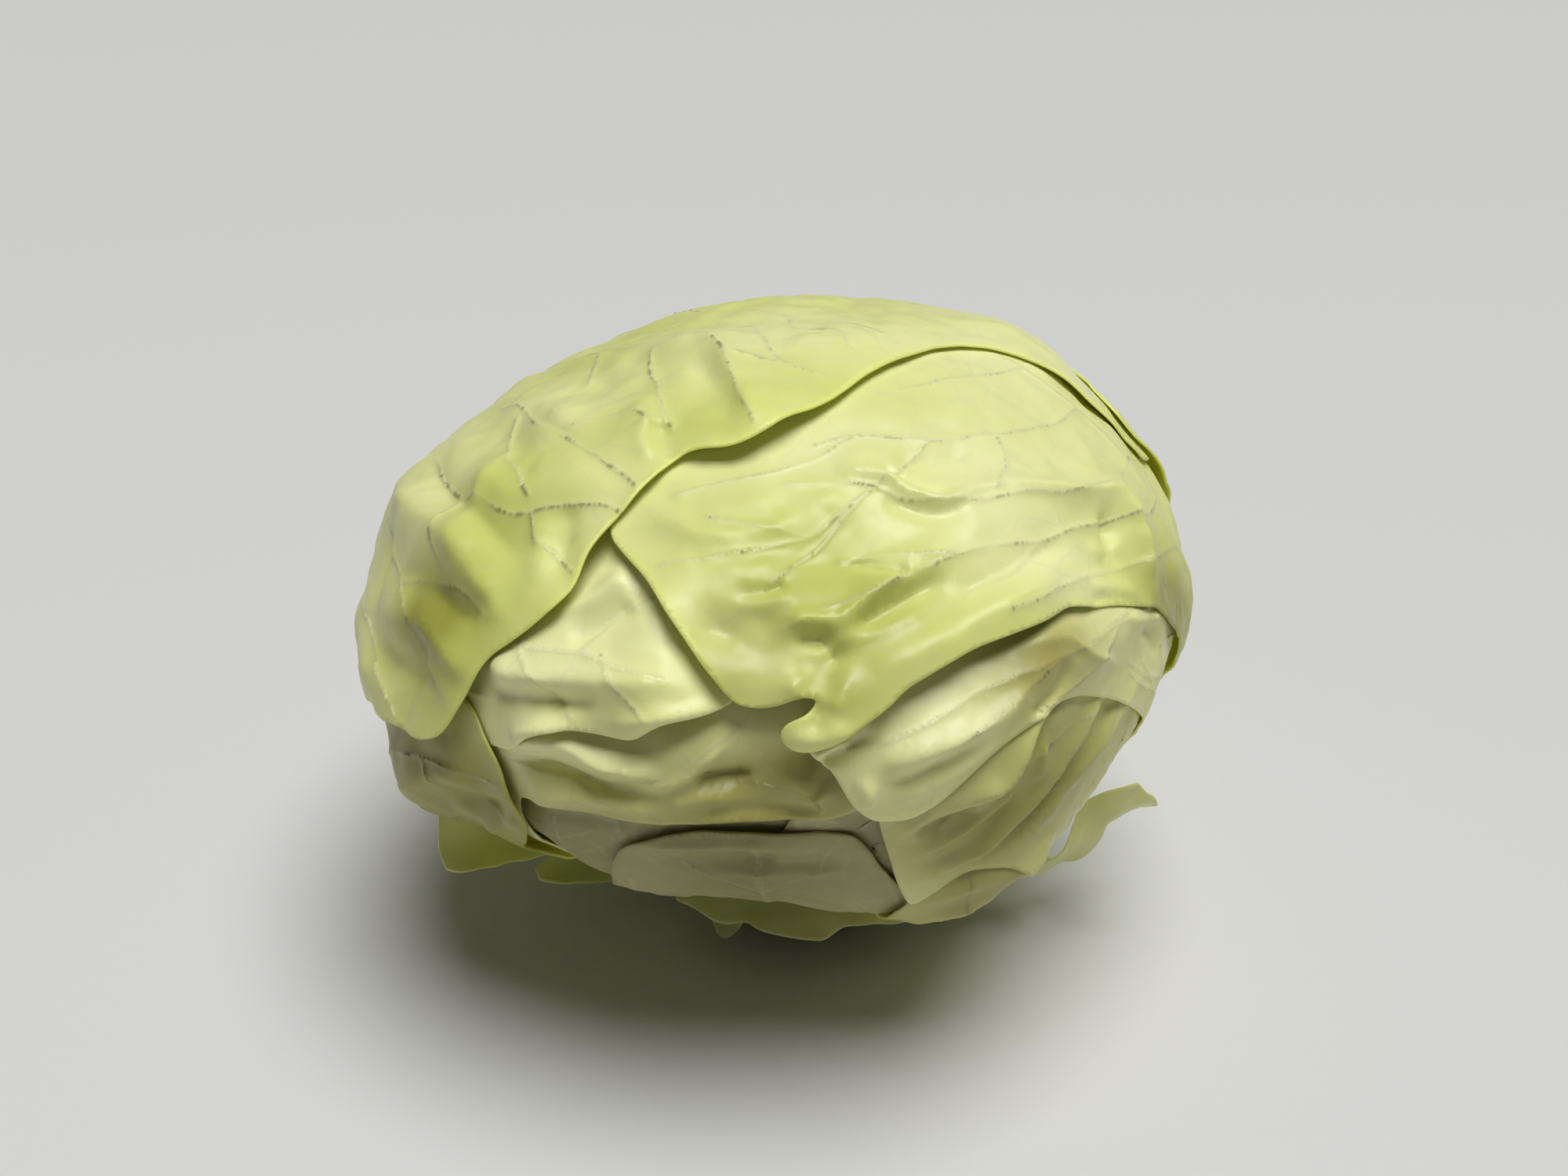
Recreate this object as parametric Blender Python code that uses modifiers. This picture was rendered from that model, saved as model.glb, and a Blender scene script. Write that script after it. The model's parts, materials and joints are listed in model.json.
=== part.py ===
"""Green flat-headed cabbage: loose pale leaves around a dense heart, standing on its cut stem.

Places on the head are given as (longitude, latitude) in degrees. Longitude 0 faces the front
(-Y), +90 is the right side (+X), and latitude -90 is where the stem leaves the head. Every
leaf is cut from one shared net of points, and its height is measured along the normal of the
head's outer surface, so that leaves lie on each other without touching.
"""
import math

import bmesh
import bpy
import numpy as np
from mathutils import Vector
from mathutils.geometry import delaunay_2d_cdt

# Head: a flattened ball that leans to the left
HEAD_RADIUS = 0.1153
HEAD_HALF_HEIGHT = 0.0778
HEAD_CENTRE = np.array([-0.0075, 0.0, 0.105])
HEAD_LEAN = math.radians(5.5)

# Layers, as heights over the head's outer surface
HEART_HEIGHT = -0.0155
LEAF_THICKNESS = 0.0009
LEAF_GAP = 0.0004
BASE_LATITUDE = -75.5

# Spacing of the net's points, on the side with the open leaves and elsewhere. Leaf bases end on
# shared points around the stem, a step of so many degrees apart.
FINE_SPACING = 0.0082
COARSE_SPACING = 0.0190
EDGE_SPACING = 0.0085
EDGE_SPACING_COARSE = 0.0170
EDGE_SPACING_DETAIL = 0.0042
BASE_STEP = 12
SNAP_DISTANCE = 0.0024
SMOOTH_STEPS = 1

# Where outlines have small notches: (longitude, latitude, radius in degrees)
DETAIL_ZONES = [(5, 17, 9), (-20, 56, 6)]

# Stem: half of its section from the cut up to the heart, as (radius, z)
STEM_PROFILE = [(0.0000, 0.0405), (0.0190, 0.0405), (0.0222, 0.0370), (0.0240, 0.0310),
                (0.0242, 0.0220), (0.0232, 0.0130), (0.0226, 0.0050), (0.0222, 0.0012),
                (0.0210, 0.0000), (0.0000, 0.0000)]
STEM_SIDES = 40

# Torn leaf: thickness and the number of grid cells along and across a strip
TORN_THICKNESS = 0.0009
STRIP_CELLS = (18, 5)
COLLAR_CELLS = (40, 4)

# Broad form that every layer follows: (longitude, latitude, spread in degrees, height)
FORM = [(-100, 60, 20, -0.0050), (-84, 37, 11, 0.0040), (98, 30, 16, -0.0030),
        (70, 14, 16, -0.0030), (33, -40, 16, 0.0115), (19, -46, 10, 0.0060),
        (-26, -36, 14, 0.0045), (-60, -18, 12, 0.0078), (-66, -8, 9, 0.0018),
        (-44, -30, 7, -0.0020), (-77, 5, 9, 0.0028), (102, 50, 11, 0.0045),
        (150, 10, 30, 0.0020), (-150, -20, 25, -0.0020)]

# Colours: base colour, roughness
COLOURS = {
    "leaf_green": ((0.62, 0.68, 0.24), 0.45),
    "leaf_pale": ((0.66, 0.69, 0.36), 0.45),
    "leaf_shade": ((0.50, 0.52, 0.33), 0.50),
    "leaf_torn": ((0.60, 0.68, 0.20), 0.45),
    "heart_pale": ((0.74, 0.74, 0.48), 0.50),
    "stem_cut": ((0.36, 0.25, 0.14), 0.75),
}


class Leaf:
    """One leaf: its free edge as (lon, lat), where its base joins the stem, and its folds."""

    def __init__(self, name, colour, level, base, edge, rib=(), folds=(), lifts=()):
        self.name = name
        self.colour = colour
        self.level = level
        self.base = base
        self.edge = edge
        self.rib = rib
        self.folds = folds
        self.lifts = lifts


# Leaves from the innermost to the outermost. A base is (longitude, half its angle in degrees).
# A fold is (line, half width, height) and a lift is (line, reach, height): a lift raises the
# leaf towards a stretch of its edge.
LEAVES = [
    Leaf("leaf_under_left", "leaf_shade", -0.0105, (-42, 34),
         [(-82, -45), (-70, -18), (-52, 2), (-30, 6), (-4, 4), (8, -2), (8, -12), (-2, -45)],
         rib=[(-42, -75), (-38, -45), (-34, -15)]),
    Leaf("leaf_under_right", "leaf_shade", -0.0100, (28, 34),
         [(-6, -45), (-2, -24), (0, -12), (7, -2), (28, 6), (46, 2), (60, -15), (66, -45)],
         rib=[(28, -75), (28, -45), (28, -12)]),
    Leaf("leaf_under_front", "leaf_shade", -0.0082, (-6, 32),
         [(-34, -45), (-27, -28), (-24, -20), (-18, -14), (-11, -11), (0.5, -12.5), (9, -16),
          (13, -28), (22, -45)],
         rib=[(-6, -75), (-5, -45), (-4, -20)],
         lifts=[([(-24, -20), (-18, -14), (-11, -11), (0.5, -12.5), (9, -16)], 0.010, 0.0004)]),
    Leaf("leaf_front", "leaf_pale", -0.0085, (-66, 30),
         [(-46, -48), (-40, -22), (-36, -7), (-25.5, -5), (-17, -6), (-8.5, -5.5), (0.5, -7),
          (5.5, -9), (9, -9), (15, -2), (13, 14), (-2, 24), (-28, 22), (-52, 16), (-74, -4),
          (-92, -45)],
         rib=[(-66, -75), (-62, -45), (-52, -12), (-36, 3), (-17, 6)],
         folds=[([(-36, 6.5), (-30, 8), (-25, 8.5), (-21, 6.5), (-16, 5.5), (-11, 8), (-7, 12)],
                 0.0078, 0.0068),
                ([(-34, 2), (-27, 2.5), (-20, 1), (-13, 2.5)], 0.0055, -0.0030),
                ([(-34, -3.5), (-24, -1.5), (-14, -2), (-4, -3.5)], 0.0070, 0.0055),
                ([(-10, 3), (-4, 3), (1, 7)], 0.0060, -0.0020),
                ([(2, 3), (6, -1), (8, -6)], 0.0085, 0.0040),
                ([(-6, 13), (1, 12.5)], 0.0070, 0.0030)],
         lifts=[([(-36, -7), (-25.5, -5), (-8.5, -5.5), (0.5, -7), (9, -9)], 0.008, 0.0018)]),
    Leaf("leaf_bulge", "leaf_pale", -0.0066, (-108, 26),
         [(-76, -45), (-56, -12), (-46, 0), (-40, 4), (-35.5, 5), (-32.5, 8), (-26, 11.5),
          (-22, 13), (-19, 11), (-15, 11.5), (-12, 14.5), (-4.5, 16.5), (0, 23), (1, 34),
          (-8, 45), (-30, 52), (-62, 48), (-96, 38), (-118, 5), (-128, -45)],
         rib=[(-108, -75), (-104, -45), (-92, 0), (-70, 22), (-45, 30)],
         folds=[([(-38, 19), (-31, 18.5), (-20, 20), (-8, 19.5)], 0.0095, 0.0082),
                ([(-30, 26), (-20, 28), (-10, 27)], 0.0090, 0.0028),
                ([(-37, 14), (-29, 14), (-22, 15.5)], 0.0050, -0.0025),
                ([(-34, 9), (-27, 12.5), (-19, 14.5), (-8, 17)], 0.0050, 0.0035),
                ([(-24, 36), (-16, 31), (-12, 29)], 0.0070, 0.0025)],
         lifts=[([(-32.5, 8), (-26, 11.5), (-12, 14.5), (-4.5, 16.5)], 0.009, 0.0035)]),
    Leaf("leaf_left_low", "leaf_green", -0.0050, (-88, 30),
         [(-52, -50), (-42, -26), (-36, -17), (-34.5, -12), (-35.5, -8), (-36, -6), (-36, 0),
          (-38, 7), (-48, 14), (-68, 14), (-92, 6), (-112, -45)],
         rib=[(-88, -75), (-80, -45), (-66, -14), (-52, 2)],
         folds=[([(-62, -20), (-52, -8), (-42, -2)], 0.0080, 0.0030),
                ([(-56, -26), (-46, -14), (-38, -10)], 0.0060, -0.0020)],
         lifts=[([(-42, -26), (-36, -17), (-34.5, -12), (-36, -6), (-36, 0)], 0.009, 0.0022)]),
    Leaf("leaf_fold_lower", "leaf_pale", -0.0080, (48, 30),
         [(14, -46), (15, -36), (18, -30), (19, -20), (18, -8), (24, 4), (36, 12), (52, 12),
          (66, 4), (80, -14), (82, -45)],
         rib=[(48, -75), (52, -45), (52, -14), (42, 6)],
         folds=[([(20, -34), (32, -31), (44, -28)], 0.0080, 0.0035)],
         lifts=[([(14, -46), (15, -36), (18, -30)], 0.012, 0.0030)]),
    Leaf("leaf_fold_middle", "leaf_pale", -0.0068, (70, 26),
         [(44, -46), (37, -32), (27, -28), (20, -31), (16, -33), (14, -26), (12.8, -18),
          (11.5, -8), (14, 2), (24, 10), (38, 17), (56, 17), (74, 8), (92, -14), (98, -45)],
         rib=[(70, -75), (68, -45), (60, -15), (46, 6), (32, 6)],
         folds=[([(17, -12), (23, -7), (27, -4.5), (29.5, 0), (32, 4), (35, 8), (40, 10.5),
                  (47, 10)], 0.0078, 0.0082),
                ([(30, -6), (33, 0), (37, 4.5), (42, 4), (46, 0)], 0.0058, -0.0035),
                ([(34, 0), (33.5, -9), (29, -18), (22, -25)], 0.0060, 0.0032),
                ([(44, -4), (46, -12), (42, -20)], 0.0080, 0.0020)],
         lifts=[([(27, -28), (16, -33), (14, -26), (12.8, -18)], 0.009, 0.0025)]),
    Leaf("leaf_fold_upper", "leaf_pale", -0.0052, (92, 24),
         [(72, -46), (62, -22), (52, -8), (42, 2), (34, 6), (26.5, 2), (23.5, -1), (20, -3.5),
          (16, -7), (13.5, -8.5), (10.5, -6.5), (9, -4), (8.3, -1), (7.5, 3), (5, 6), (3.5, 8),
          (4, 14), (14, 19), (30, 23), (54, 24), (78, 16), (98, -6), (116, -45)],
         rib=[(92, -75), (90, -45), (80, -10), (62, 12), (40, 13), (20, 7)],
         folds=[([(12, 1), (16, 4.5), (21, 6.5), (26, 8.5), (30, 11.5), (35, 14.5), (42, 15.5)],
                 0.0095, 0.0085),
                ([(5, 7.5), (8, 9), (13, 11)], 0.0050, 0.0028),
                ([(9.5, 2), (10.5, -2), (12, -5.5)], 0.0055, 0.0030),
                ([(40, 10), (46, 9.5), (53, 6.5)], 0.0060, 0.0035),
                ([(50, 15), (57, 10), (61, 3)], 0.0060, 0.0035)],
         lifts=[([(20, -3.5), (13.5, -8.5), (9, -4), (8, 0), (5, 6)], 0.009, 0.0025)]),
    Leaf("leaf_right", "leaf_green", -0.0028, (118, 30),
         [(96, -50), (84, -30), (74, -12), (64, 2), (54, 12), (51, 14.5), (45, 17.5), (39.5, 20),
          (34, 19.5), (25, 19.5), (20, 18), (16.5, 17), (13, 14.5), (8.5, 11), (5.5, 9.5),
          (2.5, 9), (1, 10.5), (0.8, 13.2), (2.6, 14.6), (4.6, 16.0), (6.6, 18.6), (4.4, 18.0),
          (2.4, 16.9), (0.5, 16.2), (-2, 16.4), (-4, 17.6), (-6, 21), (-9, 26.5), (-12, 31),
          (-15, 35), (-18, 38.5), (-24, 42), (-26, 50), (-20, 62), (4, 70), (40, 74), (90, 72),
          (122, 60), (136, 30), (140, -10), (140, -45)],
         rib=[(118, -75), (96, -45), (80, -15), (76, 12), (78, 38), (84, 56)],
         folds=[([(2.5, 11.5), (9, 15), (17, 20), (28, 23), (42, 23.5)], 0.0080, 0.0078),
                ([(-13, 35), (-9, 28), (-5, 22), (0, 19.5), (5, 21)], 0.0078, 0.0050),
                ([(2.5, 26.5), (5, 28.5), (9, 28), (15, 31), (24, 34.5), (38, 36)],
                 0.0070, 0.0060),
                ([(4, 25.2), (8, 24.8), (12, 25.6), (18, 28), (26, 30)], 0.0046, -0.0045),
                ([(6.6, 18.6), (7.8, 21), (8.8, 23)], 0.0040, -0.0045),
                ([(16, 50), (20, 50), (24, 47.5), (29, 43), (36, 42), (48, 38), (58, 32),
                  (66, 28)], 0.0060, 0.0042),
                ([(22, 53), (30, 48), (42, 45)], 0.0080, -0.0028),
                ([(4, 39), (12, 37), (20, 37), (32, 38)], 0.0070, -0.0032),
                ([(-10, 34), (-3, 35), (4, 35)], 0.0060, 0.0028),
                ([(-8, 29), (-3, 27)], 0.0060, -0.0025),
                ([(-18, 48), (-6, 47), (6, 50)], 0.0090, 0.0024),
                ([(58, 30), (55, 24), (50, 20)], 0.0050, -0.0030),
                ([(64, 30), (62.5, 22), (60, 14), (56, 10)], 0.0058, 0.0042),
                ([(46, 18), (52, 14.5), (58, 12)], 0.0050, -0.0030)],
         lifts=[([(1, 9.5), (8.5, 11), (16.5, 17), (30, 19.5), (40, 20)], 0.008, 0.0020),
                ([(-4, 18), (-9, 26.5), (-15, 34), (-24, 42)], 0.010, 0.0025)]),
    Leaf("leaf_back", "leaf_green", -0.0009, (-140, 30),
         [(-112, -50), (-96, -26), (-78, -8), (-66, -1), (-60, 0.5), (-52, 3), (-48.5, 3),
          (-45, 4), (-42, 6.5), (-40, 10), (-38, 13.5), (-38.5, 16.5), (-37.5, 20), (-36, 23),
          (-32.5, 25.5), (-28, 31), (-25.5, 34), (-26.5, 37), (-25, 42.5), (-20.5, 48.5),
          (-17.5, 52), (-18, 55), (-15, 57), (-10, 56.5), (-5, 55.5), (1, 56.5), (5, 58),
          (11, 60.5), (21, 62.5), (35, 66), (47, 67), (55, 66.5), (70, 65), (83, 60), (86, 51),
          (86, 41), (86, 31), (90, 22), (106, 16), (128, 14), (150, 4), (168, -20), (176, -45)],
         rib=[(-140, -75), (-136, -40), (-132, 0), (-128, 36), (-112, 66), (-60, 80)],
         folds=[([(-70, 76), (-30, 79), (-8, 71), (-1, 64.5), (2, 58)], 0.0080, 0.0058),
                ([(-60, 74), (-24, 74), (-11, 67), (-8, 60)], 0.0080, -0.0030),
                ([(-34, 66), (-27, 61), (-24, 56)], 0.0060, 0.0034),
                ([(-22, 63), (-19.5, 58), (-19.5, 53)], 0.0046, -0.0028),
                ([(-92, 55), (-78, 58), (-62, 59), (-48, 58)], 0.0075, 0.0040),
                ([(-70, 53), (-58, 53), (-48, 50)], 0.0070, -0.0030),
                ([(-66, 46), (-52, 46), (-42, 48), (-32, 50)], 0.0080, 0.0030),
                ([(-84, 39), (-70, 40), (-58, 40.5), (-48, 39), (-40, 36)], 0.0070, -0.0036),
                ([(-82, 33), (-66, 35), (-54, 35), (-46, 33), (-38, 30)], 0.0075, 0.0046),
                ([(-34, 46), (-31, 40), (-30, 35)], 0.0055, -0.0028),
                ([(-62, 26), (-52, 27), (-44, 26)], 0.0065, -0.0036),
                ([(-62, 20), (-51, 22), (-46, 21), (-40, 17)], 0.0065, 0.0048),
                ([(-80, 31), (-75, 25), (-72, 19)], 0.0065, -0.0030),
                ([(-72, 13), (-60, 12), (-52, 13), (-45, 15)], 0.0065, -0.0034),
                ([(-49, 9.5), (-46, 6)], 0.0090, 0.0048),
                ([(-70, 5), (-62, 5), (-56, 3)], 0.0060, 0.0030),
                ([(20, 78), (45, 74), (70, 70)], 0.0120, 0.0020)],
         lifts=[([(-18, 55), (-10, 56.5), (1, 56.5), (11, 60.5), (29, 65)], 0.010, 0.0030),
                ([(-36, 23), (-28, 31), (-25, 42.5), (-18, 53)], 0.010, 0.0022),
                ([(-60, 0), (-48.5, 3), (-42, 6.5), (-38, 15)], 0.010, 0.0030)]),
    Leaf("leaf_rear", "leaf_green", 0.0004, (172, 32),
         [(140, -50), (118, -28), (104, -5), (97, 12), (94, 22), (91, 30), (96, 36), (110, 34),
          (130, 36), (154, 40), (178, 38), (-160, 28), (-148, 6), (-146, -25), (-154, -50)],
         rib=[(172, -75), (168, -40), (160, 0), (154, 26)],
         folds=[([(120, 20), (140, 24), (165, 26)], 0.0120, 0.0030),
                ([(110, 0), (130, -6), (150, -10)], 0.0120, 0.0025)],
         lifts=[([(110, 34), (154, 40), (-160, 28)], 0.014, 0.0025)]),
]


def remove_scene_objects():
    for scene_object in list(bpy.data.objects):
        bpy.data.objects.remove(scene_object, do_unlink=True)


def make_collection(name):
    collection = bpy.data.collections.new(name)
    bpy.context.scene.collection.children.link(collection)
    return collection


def make_material(name):
    """A Principled material, also used for the sub-part's colour in the viewport."""
    colour, roughness = COLOURS[name]
    material = bpy.data.materials.get(name)
    if material is None:
        material = bpy.data.materials.new(name)
        material.use_nodes = True
        shader = material.node_tree.nodes["Principled BSDF"]
        shader.inputs["Base Color"].default_value = (*colour, 1.0)
        shader.inputs["Roughness"].default_value = roughness
        material.diffuse_color = (*colour, 1.0)
    return material


def make_object(collection, name, mesh, colour):
    mesh.materials.append(make_material(colour))
    mesh.shade_smooth()
    part = bpy.data.objects.new(name, mesh)
    collection.objects.link(part)
    return part


def direction(lon, lat):
    """Unit direction of a place on the head, before the head's lean."""
    lon, lat = math.radians(lon), math.radians(lat)
    return np.array([math.cos(lat) * math.sin(lon), -math.cos(lat) * math.cos(lon),
                     math.sin(lat)])


def lean(vectors):
    """Turn vectors about the front-to-back axis by the head's lean, right side up."""
    c, s = math.cos(HEAD_LEAN), math.sin(HEAD_LEAN)
    turn = np.array([[c, 0.0, -s], [0.0, 1.0, 0.0], [s, 0.0, c]])
    return vectors @ turn.T


def head_points(directions, heights):
    """Points at a height over the head's outer surface, along its normal."""
    radii = np.array([HEAD_RADIUS, HEAD_RADIUS, HEAD_HALF_HEIGHT])
    normals = directions / radii
    normals /= np.linalg.norm(normals, axis=1)[:, None]
    return HEAD_CENTRE + lean(directions * radii + normals * heights[:, None])


def surface_points(directions):
    return head_points(directions, np.zeros(len(directions)))


def form_height(directions):
    """Height of the broad bumps and hollows that all layers follow."""
    total = np.zeros(len(directions))
    for lon, lat, spread, height in FORM:
        cosine = np.clip(directions @ direction(lon, lat), -1.0, 1.0)
        total += height * np.exp(-(np.degrees(np.arccos(cosine)) / spread) ** 2)
    return total


def smooth_path(places):
    """Directions along a smooth open curve through the places, eight for each span."""
    points = [direction(*place) for place in places]
    last = len(points) - 1
    result = []
    for i in range(last):
        p0, p1, p2, p3 = (points[min(max(i + k - 1, 0), last)] for k in range(4))
        for step in range(8):
            t = step / 8
            point = 0.5 * (2 * p1 + (p2 - p0) * t + (2 * p0 - 5 * p1 + 4 * p2 - p3) * t ** 2
                           + (3 * p1 - p0 - 3 * p2 + p3) * t ** 3)
            result.append(point / np.linalg.norm(point))
    result.append(points[-1])
    return np.array(result)


def is_fine(directions):
    """True where the open leaves are, on the front and the top."""
    return (directions[:, 1] < 0.30) & (directions[:, 2] > -0.60)


def edge_spacing(path):
    """Spacing of outline points, by place."""
    fine = is_fine(path)
    spacing = np.where(fine, EDGE_SPACING, EDGE_SPACING_COARSE)
    for lon, lat, radius in DETAIL_ZONES:
        spacing[path @ direction(lon, lat) > math.cos(math.radians(radius))] = EDGE_SPACING_DETAIL
    return spacing


def resample(path):
    """Points along an open path, closer together where there is more to see."""
    places = surface_points(path)
    spacing = edge_spacing(path)
    kept = [0]
    run = 0.0
    for i in range(1, len(path)):
        run += np.linalg.norm(places[i] - places[i - 1])
        if run >= spacing[i]:
            kept.append(i)
            run = 0.0
    if run < 0.5 * EDGE_SPACING:
        kept.pop()
    return path[kept + [len(path) - 1]]


def leaf_outline(leaf):
    """Closed outline: the free edge between the ends of the base, then the base's points."""
    lon, half = leaf.base
    first, last = math.ceil((lon - half) / BASE_STEP), math.floor((lon + half) / BASE_STEP)
    base = [(k * BASE_STEP, BASE_LATITUDE) for k in range(first, last + 1)]
    start = direction(*leaf.edge[0])
    if direction(*base[0]) @ start > direction(*base[-1]) @ start:
        base.reverse()
    free = resample(smooth_path([base[-1], *leaf.edge, base[0]]))
    return np.concatenate([free, [direction(*place) for place in base[1:-1]]])


def lattice(spacing):
    """Evenly spread directions, from the golden angle."""
    area = 4 * math.pi * HEAD_RADIUS * (HEAD_RADIUS + 2 * HEAD_HALF_HEIGHT) / 3
    count = int(area / (spacing ** 2 * 0.87))
    index = np.arange(count) + 0.5
    z = 1 - 2 * index / count
    angle = index * math.pi * (3 - math.sqrt(5))
    ring = np.sqrt(1 - z ** 2)
    return np.stack([ring * np.cos(angle), ring * np.sin(angle), z], axis=1)


def chart(directions):
    """Flat map of the head seen from its top, with the stem far outside."""
    return directions[:, :2] / (1 + directions[:, 2])[:, None]


def unchart(flat):
    square = (flat ** 2).sum(axis=1)
    return np.concatenate([2 * flat, (1 - square)[:, None]], axis=1) / (1 + square)[:, None]


def segments_cross(a, b, p, q):
    def side(u, v, w):
        return (v[0] - u[0]) * (w[1] - u[1]) - (v[1] - u[1]) * (w[0] - u[0])
    return side(a, b, p) * side(a, b, q) < 0 and side(p, q, a) * side(p, q, b) < 0


def untangle(loop, flat):
    """Drop points of a loop that snapping has made cross itself."""
    changed = True
    while changed:
        changed = False
        count = len(loop)
        for i in range(count):
            for j in range(i + 2, count):
                if i == 0 and j == count - 1:
                    continue
                ends = [loop[i], loop[(i + 1) % count], loop[j], loop[(j + 1) % count]]
                if segments_cross(*(flat[k] for k in ends)) and j - i < 4:
                    loop = loop[:i + 1] + loop[j + 1:]
                    changed = True
                    break
            if changed:
                break
    return loop


class Net:
    """The shared net: directions, triangles, and the triangles that belong to each leaf."""

    def __init__(self):
        self.points = []
        loops = [self.add_loop(leaf_outline(leaf)) for leaf in LEAVES]
        for leaf in LEAVES:
            for line, _, _ in leaf.folds:
                self.add_points(smooth_path(line)[::4], 0.55 * FINE_SPACING)
        fine = lattice(FINE_SPACING)
        self.add_points(fine[is_fine(fine)], 0.66 * FINE_SPACING)
        coarse = lattice(COARSE_SPACING)
        self.add_points(coarse[coarse[:, 2] > math.sin(math.radians(BASE_LATITUDE))],
                        0.62 * COARSE_SPACING)
        flat = chart(np.array(self.points))
        loops = [self.turned_left(untangle(loop, flat), flat) for loop in loops]
        result = delaunay_2d_cdt([Vector(point) for point in flat], [], loops, 0, 1e-6)
        self.directions = unchart(np.array([tuple(point) for point in result[0]]))
        self.triangles = [tuple(face) for face in result[2]]
        self.members = [[k for k, owners in enumerate(result[5]) if i in owners]
                        for i in range(len(LEAVES))]
        self.surface = surface_points(self.directions)
        self.form = form_height(self.directions)

    def nearest(self, point):
        gaps = np.linalg.norm(surface_points(np.array(self.points)) - point, axis=1)
        best = int(np.argmin(gaps))
        return best, gaps[best]

    def add_loop(self, path):
        """Add an outline, sharing points of other outlines that lie very close."""
        loop = []
        for place, point in zip(path, surface_points(path)):
            index, gap = self.nearest(point) if self.points else (0, 1.0)
            if gap > SNAP_DISTANCE:
                self.points.append(place)
                index = len(self.points) - 1
            if index not in loop:
                loop.append(index)
        return loop

    def add_points(self, path, clearance):
        for place, point in zip(path, surface_points(path)):
            if self.nearest(point)[1] > clearance:
                self.points.append(place)

    @staticmethod
    def turned_left(loop, flat):
        ring = flat[loop]
        ahead = np.roll(ring, -1, axis=0)
        area = (ring[:, 0] * ahead[:, 1] - ring[:, 1] * ahead[:, 0]).sum()
        return loop if area > 0 else loop[::-1]


def distance_to_path(places, path):
    """Distance from each place to a path, with the share of the path's length reached there."""
    line = surface_points(path)
    best = np.full(len(places), np.inf)
    share = np.zeros(len(places))
    for i in range(len(line) - 1):
        start, span = line[i], line[i + 1] - line[i]
        t = np.clip((places - start) @ span / (span @ span), 0.0, 1.0)
        gap = np.linalg.norm(places - start - t[:, None] * span, axis=1)
        nearer = gap < best
        best[nearer] = gap[nearer]
        share[nearer] = (i + t[nearer]) / (len(line) - 1)
    return best, share


def relief(leaf, places):
    """Height that a leaf's folds and lifted edges add."""
    total = np.zeros(len(places))
    for line, half_width, height in leaf.folds:
        gap, share = distance_to_path(places, smooth_path(line))
        fade = np.minimum(1.0, 5.0 * np.minimum(share, 1.0 - share) + 0.45)
        total += height * fade * np.exp(-(gap / half_width) ** 2)
    for line, reach, height in leaf.lifts:
        gap, share = distance_to_path(places, smooth_path(line))
        fade = np.minimum(1.0, 4.0 * np.minimum(share, 1.0 - share) + 0.3)
        total += height * fade * np.clip(1.0 - gap / reach, 0.0, 1.0) ** 2
    return total


def rib_thickness(leaf, places):
    """Extra thickness of the midrib, wide and thick at the stem and fading outwards."""
    if not leaf.rib:
        return np.zeros(len(places))
    gap, share = distance_to_path(places, smooth_path(leaf.rib))
    half_width = 0.010 - 0.006 * share
    return 0.0026 * (1.0 - 0.8 * share) * np.exp(-(gap / half_width) ** 2)


def neighbours(triangles):
    table = {}
    for a, b, c in triangles:
        for u, v in ((a, b), (b, c), (c, a)):
            table.setdefault(u, set()).add(v)
            table.setdefault(v, set()).add(u)
    return table


def leaf_heights(net, leaf, members, top):
    """Inner and outer heights of a leaf's points, over everything that lies under them."""
    triangles = [net.triangles[k] for k in members]
    used = sorted({v for triangle in triangles for v in triangle})
    places = net.surface[used]
    free = net.form[used] + leaf.level + relief(leaf, places)
    floor = top[used] + LEAF_GAP
    inner = dict(zip(used, np.maximum(free, floor)))
    table = neighbours(triangles)
    for _ in range(SMOOTH_STEPS):
        mean = {v: sum(inner[u] for u in table[v]) / len(table[v]) for v in used}
        inner = {v: max(inner[v], 0.5 * inner[v] + 0.5 * mean[v]) for v in used}
    thickness = LEAF_THICKNESS + rib_thickness(leaf, places)
    outer = {v: inner[v] + extra for v, extra in zip(used, thickness)}
    return triangles, used, inner, outer


def leaf_mesh(net, leaf, triangles, used, inner, outer):
    """A sheet at the inner heights, extruded to the outer heights."""
    bm = bmesh.new()
    low = head_points(net.directions[used], np.array([inner[v] for v in used]))
    high = head_points(net.directions[used], np.array([outer[v] for v in used]))
    corners = {v: bm.verts.new(point) for v, point in zip(used, low)}
    faces = [bm.faces.new([corners[v] for v in triangle]) for triangle in triangles]
    bm.verts.index_update()
    target = {tuple(corners[v].co): point for v, point in zip(used, high)}
    extruded = bmesh.ops.extrude_face_region(bm, geom=faces, use_keep_orig=True)
    for element in extruded["geom"]:
        if isinstance(element, bmesh.types.BMVert):
            element.co = target[tuple(element.co)]
    bmesh.ops.recalc_face_normals(bm, faces=bm.faces)
    mesh = bpy.data.meshes.new(leaf.name)
    bm.to_mesh(mesh)
    bm.free()
    return mesh


def make_leaves(collection):
    """All leaves, each over the top of the ones before it."""
    net = Net()
    top = net.form + HEART_HEIGHT + 0.0020
    for leaf, members in zip(LEAVES, net.members):
        triangles, used, inner, outer = leaf_heights(net, leaf, members, top)
        make_object(collection, leaf.name,
                    leaf_mesh(net, leaf, triangles, used, inner, outer), leaf.colour)
        for v in used:
            top[v] = outer[v]


def make_heart(collection):
    """The dense core, a ball shaped like the head."""
    bm = bmesh.new()
    bmesh.ops.create_icosphere(bm, subdivisions=3, radius=1.0)
    directions = np.array([tuple(vert.co.normalized()) for vert in bm.verts])
    heights = form_height(directions) + HEART_HEIGHT
    for vert, point in zip(bm.verts, head_points(directions, heights)):
        vert.co = point
    mesh = bpy.data.meshes.new("heart")
    bm.to_mesh(mesh)
    bm.free()
    make_object(collection, "heart", mesh, "heart_pale")


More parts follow.
